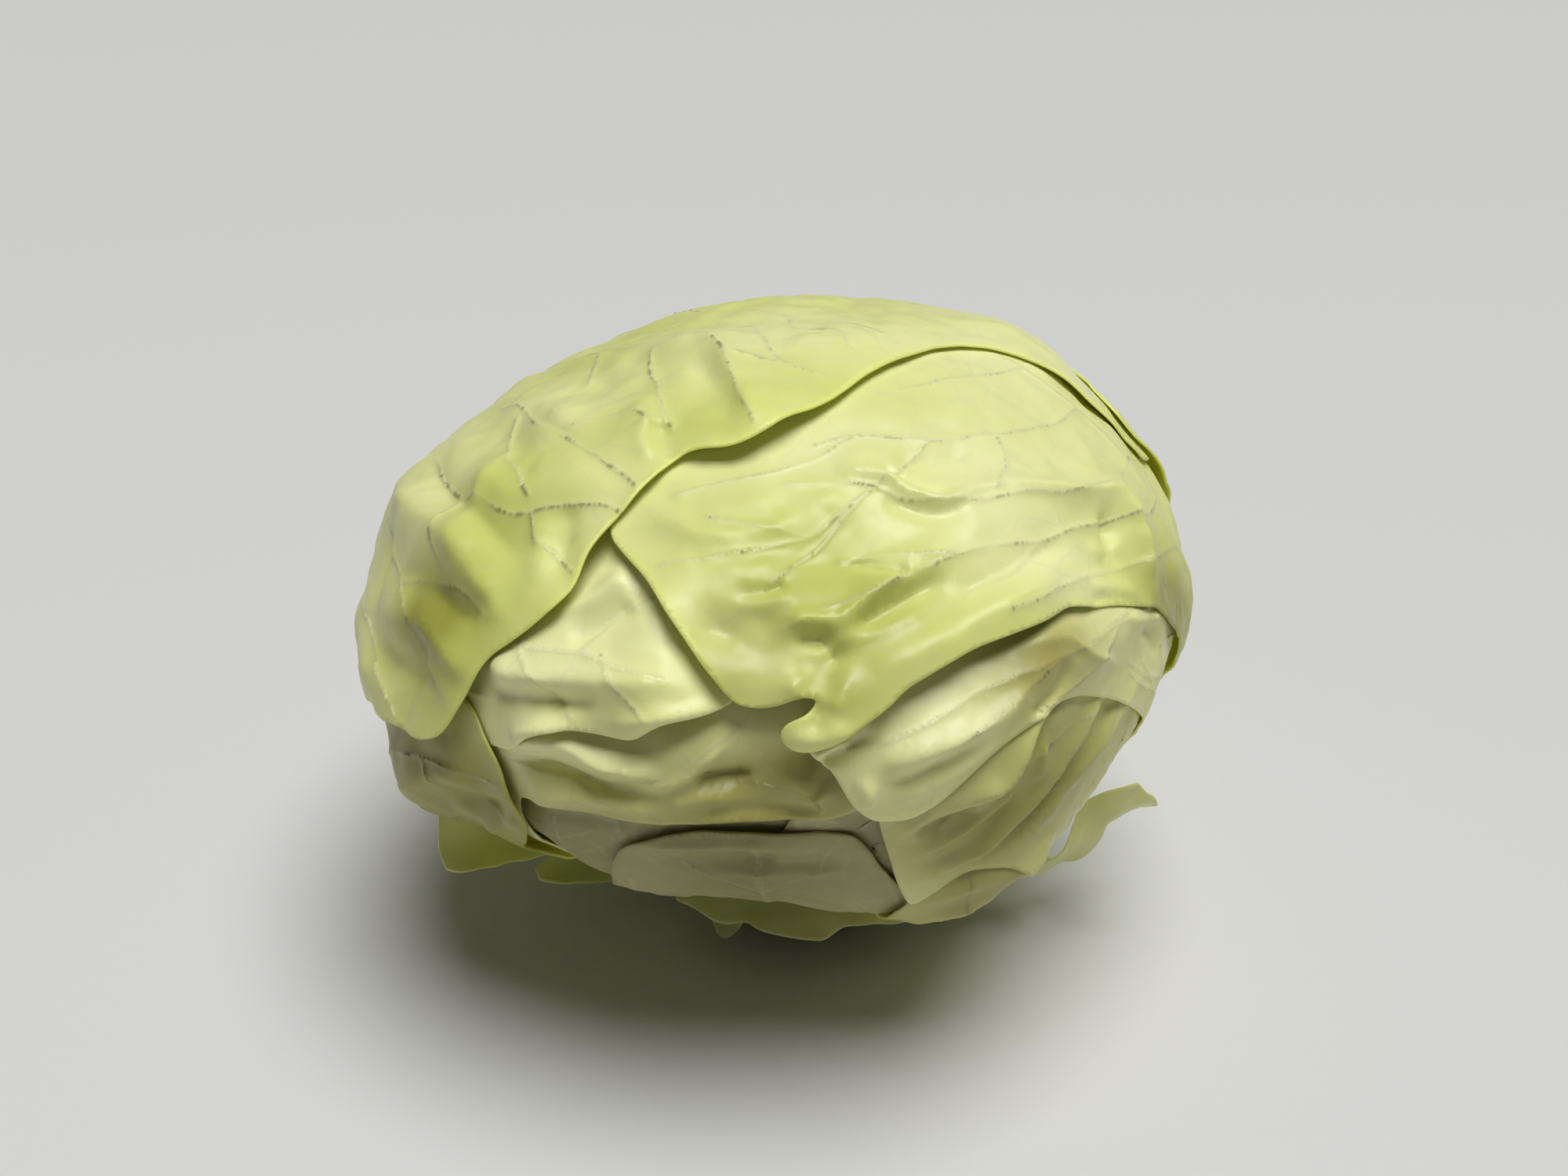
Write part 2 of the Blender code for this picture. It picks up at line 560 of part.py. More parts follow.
def make_stem(collection):
    """The cut stem, a turned profile that flares under the leaf bases."""
    mesh = bpy.data.meshes.new("stem")
    points = [(radius, 0.0, z) for radius, z in STEM_PROFILE]
    mesh.from_pydata(points, [(i, i + 1) for i in range(len(points) - 1)], [])
    stem = make_object(collection, "stem", mesh, "stem_cut")
    screw = stem.modifiers.new("turn", "SCREW")
    screw.axis = "Z"
    screw.steps = STEM_SIDES
    screw.render_steps = STEM_SIDES
    screw.use_merge_vertices = True
    screw.merge_threshold = 0.0001
    screw.use_smooth_shade = True


def path_point(points, t):
    """Point and heading on a smooth open curve through the points."""
    span = min(int(t * (len(points) - 1)), len(points) - 2)
    t = t * (len(points) - 1) - span
    p0, p1, p2, p3 = (points[min(max(span + k - 1, 0), len(points) - 1)] for k in range(4))
    place = 0.5 * (2 * p1 + (p2 - p0) * t + (2 * p0 - 5 * p1 + 4 * p2 - p3) * t ** 2
                   + (3 * p1 - p0 - 3 * p2 + p3) * t ** 3)
    heading = 0.5 * ((p2 - p0) + 2 * (2 * p0 - 5 * p1 + 4 * p2 - p3) * t
                     + 3 * (3 * p1 - p0 - 3 * p2 + p3) * t ** 2)
    return place, heading / np.linalg.norm(heading)


def make_strip(collection, name, route, half_widths, rolls, wave, cells=STRIP_CELLS):
    """A torn strip of leaf: a grid bent along a route, rolled about it and thickened."""
    route = [np.array(point) for point in route]
    bm = bmesh.new()
    bmesh.ops.create_grid(bm, x_segments=cells[0], y_segments=cells[1], size=0.5)
    for vert in bm.verts:
        along, across = vert.co.x + 0.5, 2 * vert.co.y
        place, heading = path_point(route, along)
        half = np.interp(along, *zip(*half_widths))
        roll = math.radians(np.interp(along, *zip(*rolls)))
        side = np.cross(heading, (0.0, 0.0, 1.0))
        side /= np.linalg.norm(side)
        up = np.cross(side, heading)
        ripple = wave * across * abs(across) * math.sin(5 * math.pi * along + 1.5 * across)
        cup = 0.25 * half * across ** 2
        turned = math.cos(roll) * side + math.sin(roll) * up
        lifted = math.cos(roll) * up - math.sin(roll) * side
        vert.co = place + half * across * turned + (ripple + cup) * lifted
    mesh = bpy.data.meshes.new(name)
    bm.to_mesh(mesh)
    bm.free()
    strip = make_object(collection, name, mesh, "leaf_torn")
    shell = strip.modifiers.new("thickness", "SOLIDIFY")
    shell.thickness = TORN_THICKNESS
    shell.offset = 0.0
    shell.use_even_offset = True


def make_torn_leaves(collection):
    """What is left of torn outer leaves, from the stem out under the head."""
    make_strip(collection, "torn_lobe_left",
               [(-0.0262, 0.0040, 0.0190), (-0.0520, 0.0010, 0.0220),
                (-0.0760, -0.0130, 0.0310), (-0.0920, -0.0240, 0.0370),
                (-0.1040, -0.0300, 0.0420)],
               [(0, 0.006), (0.4, 0.008), (0.7, 0.0110), (0.88, 0.0125), (0.96, 0.010),
                (1, 0.005)],
               [(0, 0), (0.4, 12), (0.7, 40), (1, 55)], 0.0022)
    make_strip(collection, "torn_tip_left",
               [(-0.0258, -0.0020, 0.0080), (-0.0450, -0.0020, 0.0110),
                (-0.0640, -0.0100, 0.0160), (-0.0790, -0.0200, 0.0205)],
               [(0, 0.005), (0.5, 0.006), (0.85, 0.006), (1, 0.002)],
               [(0, 0), (1, 30)], 0.0012)
    make_strip(collection, "torn_strip_right",
               [(0.0262, -0.0030, 0.0120), (0.0450, -0.0150, 0.0130),
                (0.0622, -0.0200, 0.0195), (0.0718, -0.0210, 0.0244),
                (0.0800, -0.0210, 0.0330), (0.0885, -0.0200, 0.0405),
                (0.0985, -0.0190, 0.0480)],
               [(0, 0.006), (0.4, 0.0065), (0.65, 0.0062), (0.8, 0.0090), (0.93, 0.0105),
                (1, 0.0085)],
               [(0, 0), (0.3, 15), (0.55, 40), (0.72, 80), (0.85, 52), (1, 62)], 0.0030)
    make_strip(collection, "torn_bit_front",
               [(-0.0176, -0.0170, 0.0150), (-0.0225, -0.0245, 0.0110),
                (-0.0242, -0.0300, 0.0045)],
               [(0, 0.006), (0.5, 0.007), (1, 0.001)], [(0, 0), (1, 15)], 0.0006, (8, 4))


def make_collar(collection):
    """The torn leaf bases around the front of the stem, a skirt with a ragged lower edge."""
    bm = bmesh.new()
    bmesh.ops.create_grid(bm, x_segments=COLLAR_CELLS[0], y_segments=COLLAR_CELLS[1], size=0.5)
    for vert in bm.verts:
        along, out = vert.co.x + 0.5, vert.co.y + 0.5
        angle = math.radians(-56 + 122 * along)
        ragged = 0.5 + 0.3 * math.sin(17 * along + 0.6) + 0.2 * math.sin(41 * along)
        reach = 0.0150 + 0.0050 * ragged
        radius = 0.0252 + reach * out
        z = 0.0205 - 0.0050 * out ** 1.5 + 0.0010 * out * math.sin(23 * along)
        vert.co = (radius * math.sin(angle) * 1.05, -radius * math.cos(angle), z)
    mesh = bpy.data.meshes.new("torn_collar")
    bm.to_mesh(mesh)
    bm.free()
    collar = make_object(collection, "torn_collar", mesh, "leaf_torn")
    shell = collar.modifiers.new("thickness", "SOLIDIFY")
    shell.thickness = TORN_THICKNESS
    shell.offset = 0.0


def main():
    remove_scene_objects()
    collection = make_collection("cabbage")
    make_heart(collection)
    make_leaves(collection)
    make_stem(collection)
    make_torn_leaves(collection)
    make_collar(collection)


main()
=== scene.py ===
"""Surface of a green flat-headed cabbage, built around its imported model.

Each leaf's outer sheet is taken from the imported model, divided finely, and given its creases,
puckers, veins and thin wavy edge. Leaves are dressed from the innermost to the outermost, and
each one is kept clear of what lies under it. Places on the head are (longitude, latitude) in
degrees: longitude 0 faces the front (-Y), +90 is the right side (+X).
"""

import json
import math

import bmesh
import bpy
import numpy as np
from bpy.props import FloatProperty, FloatVectorProperty, PointerProperty
from bpy.types import Operator, Panel, PropertyGroup
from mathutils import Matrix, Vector, noise
from mathutils.bvhtree import BVHTree
from mathutils.kdtree import KDTree


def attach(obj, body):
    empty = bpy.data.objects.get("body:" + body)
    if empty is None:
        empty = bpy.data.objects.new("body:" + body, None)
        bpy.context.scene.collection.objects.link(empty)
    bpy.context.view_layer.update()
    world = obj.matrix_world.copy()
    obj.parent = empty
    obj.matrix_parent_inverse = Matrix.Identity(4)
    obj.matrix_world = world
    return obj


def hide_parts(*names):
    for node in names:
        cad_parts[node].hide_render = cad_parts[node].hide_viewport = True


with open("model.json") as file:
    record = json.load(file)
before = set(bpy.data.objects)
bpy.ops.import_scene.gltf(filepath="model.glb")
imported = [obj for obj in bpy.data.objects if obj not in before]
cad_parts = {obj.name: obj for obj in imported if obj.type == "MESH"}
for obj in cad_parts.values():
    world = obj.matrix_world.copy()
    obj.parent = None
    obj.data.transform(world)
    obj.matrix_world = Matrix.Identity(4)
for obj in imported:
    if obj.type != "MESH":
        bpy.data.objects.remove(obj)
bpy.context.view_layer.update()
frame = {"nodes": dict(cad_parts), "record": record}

bl_info = {
    "name": "Green cabbage",
    "version": (1, 0, 0),
    "blender": (4, 5, 0),
    "location": "View3D > Sidebar > Cabbage",
    "description": "Leaves, torn leaves and stem of a green flat-headed cabbage",
    "category": "Object",
}

# Head: the flattened ball whose normals leaf heights are measured along
HEAD_RADII = np.array([0.1153, 0.1153, 0.0778])
HEAD_CENTRE = np.array([-0.0075, 0.0, 0.105])
HEAD_LEAN = math.radians(5.5)

# Camera fitted to the view: 25 degrees above level, looking along +Y
CAMERA_PLACE = (-0.0062, -0.4538, 0.3158)
CAMERA_LENS = 40.5
CAMERA_SENSOR = 36.0
CAMERA_ELEVATION = 25.0

# Direction that the main light comes from, and half the side of the floor
LIGHT_FROM = (0.17, -0.20, 1.0)
FLOOR_SIZE = 6.0

# Gap kept between leaves, and where rays that look for the leaf below start
LEAF_GAP = 0.0003
RAY_HEIGHT = 0.03

# Packed corners closer than WELD are joined. Places on the unit ball closer than SAME_PLACE are
# one place, where the lower corner belongs to the inner sheet.
WELD = 1e-5
SAME_PLACE = 0.0003

LEAF_ORDER = ["leaf_under_left", "leaf_under_right", "leaf_under_front", "leaf_front",
              "leaf_bulge", "leaf_left_low", "leaf_fold_lower", "leaf_fold_middle",
              "leaf_fold_upper", "leaf_right", "leaf_back", "leaf_rear"]
# Longest edge of these leaves' meshes, as a multiple of the other leaves'
COARSENESS = {"leaf_back": 1.3, "leaf_rear": 1.3, "leaf_under_left": 1.4,
              "leaf_under_right": 1.4}
HIDDEN_COARSENESS = 3.0
# Leaves under this coarseness have finer edges, a share as long, within a reach of their veins.
# On all leaves, corners within SNAP_SHARE of the finer length of a vein are laid on it.
FINE_COARSENESS = 1.35
FINE_REACH = 0.0025
FINE_PASSES = 4
FINE_SHARE = 0.5
SNAP_SHARE = 0.45

# Rounds of averaging of a sheet's places, and of its heights when its longest edge is HEIGHT_EDGE
PLACE_ROUNDS = 6
HEIGHT_ROUNDS = 24
HEIGHT_EDGE = 0.0015
# The same for the finished relief, and for a lift that keeps a sheet clear
RELIEF_ROUNDS = 2
LIFT_ROUNDS = 6

# Steps of a smooth path between two places, and marks on each for finding the nearest
SPAN_STEPS = 6
SPAN_MARKS = 5

# Veins that grow from a midrib, over the unit ball: how many on each side, the share of the
# midrib up to the last, their angle in degrees, bends, steps and strides, the step and turn of
# the twig, and how close to a drawn vein they stop
SIDE_VEINS = 9
LAST_SHARE = 0.95
VEIN_ANGLE, VEIN_ANGLE_SPREAD = 48, 8
VEIN_BEND, VEIN_WANDER = 0.035, 0.09
VEIN_STEPS, VEIN_STRIDE = 16, 0.065
TWIG_STEPS, TWIG_STRIDE = 9, 0.055
TWIG_START, TWIG_TURN = 6, 0.8
VEIN_SPACING = 0.16
FEWEST_STEPS = 4
# Shifts of all veins from side to side, and the size of these wavers
VEIN_SHIFT, VEIN_SHIFT_SIZE = 0.0011, 0.011

# Relief: how far from a vein and the outline bumps have their full height, and their share of it
# there; the fine bumps' size and height as shares of the soft ones'; the grooves beside a vein;
# and the reach and size of an edge's waves
BUMP_VEIN_REACH, BUMP_EDGE_REACH = 0.006, 0.010
SOFT_ON_VEIN, FINE_ON_VEIN, BUMP_ON_EDGE = 0.45, 0.3, 0.35
FINE_SIZE, FINE_HEIGHT = 0.33, 0.3
GROOVE_PLACE, GROOVE_WIDTH, GROOVE_DEPTH = 0.0024, 0.0016, 0.6
WAVE_REACH, WAVE_SIZE = 0.012, 0.013

# Torn pieces: times that they are divided, and the size and height of their bumps
TORN_LEVELS = 3
TORN_BUMP_SIZE, TORN_BUMP = 0.009, 0.0014
# Distances to a vein and to an outline that count as far, for torn pieces
FAR_FROM_VEIN, FAR_FROM_BORDER = 0.02, 0.003

# Colours of the shaded leaves, darkened to paint their shade, of the torn pieces, heart and
# stem, and what full painted shade multiplies by
SHADE_GREEN, SHADE_PALE = (0.42, 0.41, 0.19), (0.56, 0.55, 0.29)
TORN_PALE = (0.62, 0.64, 0.30)
HEART_GREEN, HEART_PALE = (0.60, 0.62, 0.28), (0.70, 0.69, 0.40)
SKIN_FIBRE, CUT_FIBRE = (0.40, 0.38, 0.16), (0.34, 0.23, 0.12)
FULL_SHADE = (0.46, 0.42, 0.30)

# Creases: how pointed their profile is (2 is round), what their heights are multiplied by,
# their reach in metres for each millimetre of half width, and how they grow from their ends
CREASE_SHARPNESS = 1.5
CREASE_DEPTH = 1.7
CREASE_DEPTHS = {"leaf_back": 0.85, "leaf_right": 1.3, "leaf_rear": 1.0}
CREASE_REACH = 0.0032
CREASE_GROWTH, CREASE_START = 4.5, 0.12
MILLIMETRE = 0.001

# Creases and small folds: leaf -> (line, half width in mm, height in mm before it is multiplied)
CREASES = {"leaf_back": [
    ([(-22, 50), (-34, 54), (-48, 57), (-66, 57.5), (-90, 55)], 2.2, -0.9),
    ([(-62, 51), (-58, 46), (-54, 40)], 3, 1.4),
    ([(-84, 39.5), (-70, 40.5), (-58, 41), (-48, 39.5), (-38, 36)], 3, -1.8),
    ([(-82, 34), (-66, 36), (-54, 36), (-44, 33)], 3.2, 1.5),
    ([(-57, 40), (-52, 37), (-47, 36)], 2.4, 1.3),
    ([(-34, 46), (-31.5, 41), (-30.5, 35)], 2.6, -1.7),
    ([(-38, 43), (-35, 38), (-33, 33)], 2.6, 1.4),
    ([(-46, 33), (-40, 30.5), (-36.5, 27.5)], 2.2, 1.6),
    ([(-53, 27), (-46, 26), (-40, 25.5)], 3.4, -2.2),
    ([(-52, 22.5), (-46.5, 21), (-43, 19.5), (-40, 17)], 2, 1.7),
    ([(-66, 12.5), (-58, 12), (-52, 12), (-46, 13.5)], 3, -2),
    ([(-48, 16.5), (-44, 14.5), (-41.5, 11)], 2, 1.4),
    ([(-51.5, 10), (-51, 6), (-52, 3)], 2.2, -1.5),
    ([(-64, 8), (-60, 7), (-55, 6)], 2.4, 1.2),
    ([(-72, 24), (-74, 18), (-73, 12)], 3, 1.3),
    ([(-77, 28), (-73, 24), (-71, 19)], 3, -1.7),
    ([(-40, 80), (-18, 77.5), (-6, 70), (-1.5, 64.5), (1, 59)], 2.8, 1.9),
    ([(-30, 76), (-14, 71), (-7, 66), (-5, 60)], 3.2, -1.7),
    ([(-18, 63), (-10, 62), (-4, 62)], 3, 0.9),
    ([(-24.5, 62), (-21, 58.5), (-17, 55.5)], 1.8, -3.2),
    ([(-28, 62), (-24.5, 58), (-22, 55)], 2.2, 1.6),
    ([(-19.5, 53.5), (-18, 52), (-20, 49.5), (-23, 46)], 1.7, 1.8),
    ([(30, 80), (45, 76), (60, 72)], 5, 1),
    ([(-130, 40), (-118, 52), (-100, 62)], 4, -1.2),
    ([(-124, 20), (-108, 24), (-92, 22)], 4, 1.3),
], "leaf_right": [
    ([(16, 50.3), (20, 50.2), (24.5, 47.6), (28.5, 43), (31, 41.6), (36, 42.2), (42, 41)],
     1.9, 1.9),
    ([(20, 51.8), (26, 49), (30, 44.5), (34, 43.8)], 2.2, -1.6),
    ([(42, 41), (48, 38), (56, 33.5), (66, 28.5)], 2, 1.3),
    ([(22, 45.5), (27, 41), (33, 39.5)], 2.6, -1.3),
    ([(13, 36.5), (17, 34.3), (20.5, 33)], 1.8, -1.7),
    ([(13, 35), (17, 33), (21, 31.6)], 2.2, 1.2),
    ([(-3, 33.4), (0, 33.4), (4, 34.6)], 1.6, -1.7),
    ([(-3, 32), (1, 32), (5, 33.2)], 2, 1.3),
    ([(-8, 29), (-5.5, 28), (-3.5, 27)], 3, -1.7),
    ([(2.5, 26.8), (5, 28.4), (9, 27.6), (11, 28.4), (15, 31), (19, 32.6)], 1.8, 1.8),
    ([(4.2, 26.3), (6, 25.8), (8.4, 25.4)], 1.8, -2),
    ([(8, 25), (10, 25), (13, 25.2), (18, 26.4), (22, 27.6)], 1.8, 1.7),
    ([(11, 26.6), (15, 27.6), (20, 29.6), (25, 31)], 2, -1.7),
    ([(8.2, 23.4), (8.5, 22.3), (8.2, 21.4)], 1.8, -2),
    ([(7, 24.5), (5.2, 21.6), (3.6, 19.6), (2.2, 17.6)], 1.5, 1.3),
    ([(6.2, 23.2), (4, 20.8)], 1.3, -1),
    ([(9.6, 22.6), (9.2, 19.8), (8, 17), (7, 14.6)], 1.8, 1.5),
    ([(4.6, 12), (5.4, 14.6), (6, 16.4)], 1.6, -1.6),
    ([(1.6, 12.4), (3.4, 11), (6, 11.2), (9, 12.4)], 2, 1.4),
    ([(12, 19.5), (20, 22.2), (30, 24.5), (40, 25.5)], 3, 1.1),
    ([(24, 26.5), (34, 29), (46, 29)], 3, -1.4),
    ([(57.5, 29.5), (55, 24.5), (51, 20.5)], 2.2, -1.9),
    ([(62.5, 29), (61, 22), (58.5, 15)], 2.2, 1.7),
    ([(66, 30), (65, 23), (62, 16)], 2.4, -1.5),
    ([(50, 26), (54, 23.5), (57, 24)], 1.8, 1),
    ([(44.5, 19.3), (48, 17), (51, 14.8), (54, 12)], 1.6, -1.2),
    ([(46, 20.6), (50, 18.4), (54, 15)], 2, 1.4),
    ([(28, 52), (36, 49), (44, 49)], 3.2, -1.1),
    ([(-16, 46), (-8, 43), (0, 43), (8, 45)], 3.2, 0.9),
    ([(110, 50), (104, 30), (100, 5)], 4, 1.2),
], "leaf_fold_upper": [
    ([(3.8, 7.4), (6, 8.2), (9, 9.6)], 1.6, 1.5),
    ([(5.4, 6), (8, 7.6), (12, 9.6)], 1.6, -1.3),
    ([(9.2, 2.2), (10, 0), (9.6, -3)], 1.8, 1.5),
    ([(12, 4.6), (16, 5.8), (20, 6.6), (26, 8.2), (30, 11)], 2.6, 1.6),
    ([(12, 0), (16, 1.8), (20, 3), (24, 4.4)], 2.2, -1.2),
    ([(13, -3), (18, -0.6), (22, 1.6), (26, 4)], 2.4, 1.2),
    ([(30, 17), (35, 17), (38, 15.5), (40, 12), (44, 8), (49, 3.5)], 1.3, 1),
    ([(30, 6), (34, 8), (37, 12)], 2.4, -1.4),
    ([(50, 12), (55, 9), (60, 6)], 2, 1.2),
    ([(54, 8), (58, 4), (60, -2)], 2, -1.3),
], "leaf_fold_middle": [
    ([(20, -8), (23.5, -6), (27, -5), (29.6, 0), (31.5, 3.5), (34.5, 7), (39, 9.5)],
     2.2, 1.8),
    ([(30.5, -4), (32.5, 1), (34.5, 4.6), (38.5, 5.6), (42.5, 4.4)], 2.2, -2.2),
    ([(33.5, -1), (33.2, -6), (33, -10)], 1.3, 1.1),
    ([(16, -15), (20, -13), (24, -10.5)], 2.4, -1.5),
    ([(17, -20), (22, -17.5), (27, -13), (29, -8)], 2.2, 1.3),
    ([(20, -25), (26, -21), (30, -14)], 2, -1),
    ([(17, -28), (24, -24), (33, -15), (41, -5), (48, 5)], 2.8, 1.5),
    ([(22, -28), (32, -22), (42, -11), (50, 0)], 2.4, -1.3),
    ([(28, -27), (38, -19), (48, -9), (56, 2)], 2.6, 1.2),
], "leaf_fold_lower": [
    ([(16, -42), (24, -38), (34, -30), (46, -16), (54, -4)], 3, 1.4),
    ([(22, -42), (32, -36), (44, -24), (54, -12)], 2.6, -1.2),
    ([(18, -34), (26, -31), (36, -29), (44, -25)], 2.2, 1.2),
    ([(20, -30), (30, -27), (40, -24)], 2.4, -1.1),
    ([(20, -39), (30, -36), (42, -32)], 2, 1),
], "leaf_bulge": [
    ([(-38, 19.5), (-31, 19), (-20, 20.4), (-8, 20)], 3.2, 1.6),
    ([(-37, 15.5), (-30, 16), (-24, 16.4), (-20, 17)], 2.6, -2),
    ([(-26.5, 18.5), (-26.5, 16.6), (-25, 15.4)], 1.4, -1.1),
    ([(-33, 8.8), (-29, 10.8), (-24, 12.6)], 1.8, 1.2),
    ([(-18, 13.5), (-12, 15.2), (-6, 17)], 1.8, 1.2),
    ([(-26, 26), (-22, 29), (-18, 33)], 3.4, -1.3),
    ([(-30, 30), (-24, 33), (-20, 38)], 3, 1.1),
], "leaf_front": [
    ([(-36, 6.6), (-30, 8.3), (-25, 8.8), (-21, 6.6), (-16, 5.6), (-13, 5.2)], 2.4, 1.8),
    ([(-34, 2.6), (-27, 2.8), (-21, 0.8), (-14, 2)], 2.2, -2),
    ([(-20, 0.6), (-13, 3), (-10, 4.5), (-8, 7), (-5, 10.5)], 1.5, 1.4),
    ([(-9.5, 3.6), (-6, 3.2), (-3, 3.8)], 2.4, -2),
    ([(-32, -4), (-24, -1.7), (-19, -1.4), (-14, -2.6)], 2.2, 1.7),
    ([(-13, -1.2), (-9, -0.2), (-5, -0.8)], 2, 1.3),
    ([(6.4, 3), (5, 0), (4, -2.4)], 1.2, -0.8),
    ([(1, 3), (3, 0), (4, -4)], 2.6, 1.3),
    ([(-10, -3.5), (-2, -4.2), (5, -6.5)], 2, -1),
], "leaf_left_low": [
    ([(-60, -14), (-50, -7), (-42, -4)], 3, 1.2),
    ([(-54, -16), (-46, -12), (-39, -11)], 3, -1.2),
    ([(-46, -20), (-40, -16), (-37, -12)], 2.4, 1),
], "leaf_under_front": [
    ([(-20, -16), (-8, -15), (4, -16)], 2.6, 1.1),
    ([(-18, -22), (-6, -21), (6, -22)], 3, -1.1),
    ([(-12, -26), (-2, -25), (8, -27)], 2.2, 1),
], "leaf_under_left": [
    ([(-30, -9), (-20, -9), (-8, -8)], 2.4, 1),
    ([(-34, -14), (-26, -13), (-18, -12)], 2.6, -1),
], "leaf_rear": [
    ([(112, 14), (132, 18), (156, 20)], 4, 1.5),
    ([(108, 4), (128, 4), (150, 4)], 5, -1.5),
    ([(130, 30), (146, 26), (164, 26)], 3, 1.2),
    ([(120, -14), (140, -10), (166, -12)], 4, 1.2),
    ([(-170, 20), (-162, 0), (-160, -20)], 4, -1.3),
]}

# Patches of tone: leaf -> (place, radius in degrees, paleness, shade). Paleness is partly the
# leaves' own pale and green patches and partly painted light on lit ridges and tops; shade is
# painted shade in hollows, under overlapping edges and on the lower leaves
TONES = {"leaf_back": [
    ((-49, 24), 9, -0.5, 1), ((-62, 34), 16, -0.2, 0.22), ((-45, 9), 11, -0.3, 0.3),
    ((-24, 66), 12, -0.3, 0.1), ((-50, 44), 9, -0.5, 0), ((-10, 82), 16, 0.6, -0.1),
    ((-76, 45), 14, 0.5, 0),
], "leaf_right": [
    ((0, 44), 13, -0.6, 0.1), ((4, 35), 8, -0.9, 0.25), ((-3, 23), 8, -0.2, 0.5),
    ((9, 17), 6, -0.2, 0.5), ((16, 27), 7, -0.2, 0.4), ((14, 57), 14, 0.8, -0.1),
    ((24, 78), 18, 0.6, -0.1), ((62, 7), 11, -0.2, 1), ((70, -6), 14, -0.2, 0.6),
    ((40, 62), 10, -0.4, 0), ((34, 35), 12, 0.5, 0), ((14, 31), 9, -0.4, 0), ((-4, 30), 7, 0.4, 0),
], "leaf_fold_upper": [
    ((32, 14), 9, 0, 1), ((22, 12), 8, 0.8, -0.1), ((44, 10), 12, 0.3, 0.25),
    ((14, -2), 9, -0.3, 0.3),
], "leaf_fold_middle": [
    ((22, -18), 14, 0, 0.9), ((34, -2), 10, 0.2, 0.4), ((40, -16), 16, 0, 0.7),
], "leaf_fold_lower": [
    ((30, -34), 24, 0, 1),
], "leaf_bulge": [
    ((-30, 20), 12, 0.8, -0.1), ((-20, 15), 6, 0, 0.3),
], "leaf_front": [
    ((-30, 6), 10, 0.9, -0.2), ((7, 1), 13, 0, 1), ((-4, -5), 12, 0, 0.8),
    ((-26, -10), 14, 0, 0.9),
], "leaf_left_low": [
    ((-50, -8), 22, 0, 1), ((-46, -24), 20, 0, 0.9),
], "leaf_under_front": [
    ((-4, -24), 30, 0, 0.8),
], "leaf_under_left": [
    ((-28, -20), 30, 0, 0.7),
], "leaf_under_right": [
    ((28, -20), 30, 0, 0.8),
]}

# Main veins that are drawn: leaf -> lines
VEINS = {"leaf_back": [
    [(-93, 51), (-83, 56), (-65, 57), (-52, 57), (-42, 56), (-34, 54.5), (-22, 50.5)],
    [(-75, 55), (-62, 51), (-50, 49), (-43, 46)],
    [(-85, 40), (-72, 41), (-62, 41.5), (-55, 43), (-46, 42.5), (-41, 43.5), (-34, 46),
     (-25, 46.5), (-20, 43)],
    [(-41, 43.5), (-37, 40), (-33, 39), (-27.5, 36)],
    [(-70, 76), (-40, 80), (-18, 77.5), (-6, 70), (-2, 64.5), (0.5, 59)],
    [(-70, 76), (-50, 73), (-28, 66), (-20, 61)],
    [(-60, 84), (0, 87), (10, 82), (15, 74), (27, 69)],
    [(180, 84), (90, 85), (50, 82), (55, 77), (45, 71.5)],
    [(75, 78), (66, 72)],
    [(-86, 28), (-74, 27), (-62, 25), (-52, 20), (-45, 13)],
    [(-80, 12), (-70, 12), (-61, 8), (-54, 4)],
    [(-62, 25), (-54, 28), (-46, 29), (-38, 27)],
    [(-62, 41.5), (-58, 35), (-52, 31)],
    [(-52, 57), (-44, 61), (-34, 63), (-26, 61)],
    [(-12, 75), (-2, 76), (12, 74)],
], "leaf_right": [
    [(80, 30), (66, 31), (55, 34), (44, 38), (31, 41.5), (24, 45), (16, 49), (6, 51)],
    [(79, 42), (66, 45), (52, 49), (38, 53), (24, 57), (14, 57)],
    [(80, 20), (68, 23), (56, 28), (42, 31), (28, 33), (14, 31), (4, 29)],
    [(78, 10), (66, 15), (54, 20), (42, 23), (30, 23)],
    [(82, 52), (70, 57), (56, 61), (44, 63)],
    [(52, 49), (46, 44), (40, 41)],
    [(38, 53), (28, 50), (18, 46), (8, 42), (-4, 40), (-14, 38)],
    [(18, 46), (12, 42), (6, 38), (2, 35)],
    [(24, 57), (10, 54), (-4, 52), (-14, 50)],
    [(42, 31), (34, 28), (26, 27)],
    [(8, 42), (0, 44), (-8, 46)],
    [(28, 33), (20, 36), (12, 37)],
], "leaf_bulge": [
    [(-44, 26), (-34, 24), (-24, 24), (-12, 21)],
    [(-34, 24), (-28, 19), (-24, 14)],
    [(-24, 24), (-20, 30), (-14, 34)],
    [(-20, 24), (-17, 19), (-14, 15)],
], "leaf_front": [
    [(-46, -2), (-36, 2), (-26, 1), (-15, 4), (-11, 5), (-8, 9), (-4, 13)],
    [(-11, 5), (-4, 2), (3, -0.5), (5, -6)],
    [(-26, 1), (-20, -2), (-14, -5)],
], "leaf_fold_upper": [
    [(60, 10), (48, 13), (36, 13), (24, 8), (14, 1)],
    [(36, 13), (26, 13), (14, 9), (6, 7)],
    [(48, 13), (40, 8), (32, 6)],
], "leaf_fold_middle": [
    [(60, -8), (50, -4), (40, -3), (30, -6), (20, -14)],
    [(50, -4), (44, -12), (36, -18), (26, -24)],
    [(54, 4), (46, 4), (38, 5)],
], "leaf_left_low": [
    [(-62, -8), (-52, -4), (-44, -3), (-38, -4)],
    [(-52, -4), (-46, -10), (-40, -14)],
], "leaf_under_front": [
    [(-5, -50), (-5, -32), (-4, -14)],
    [(-5, -34), (-12, -26), (-18, -18)],
    [(-5, -34), (3, -26), (6, -18)],
]}

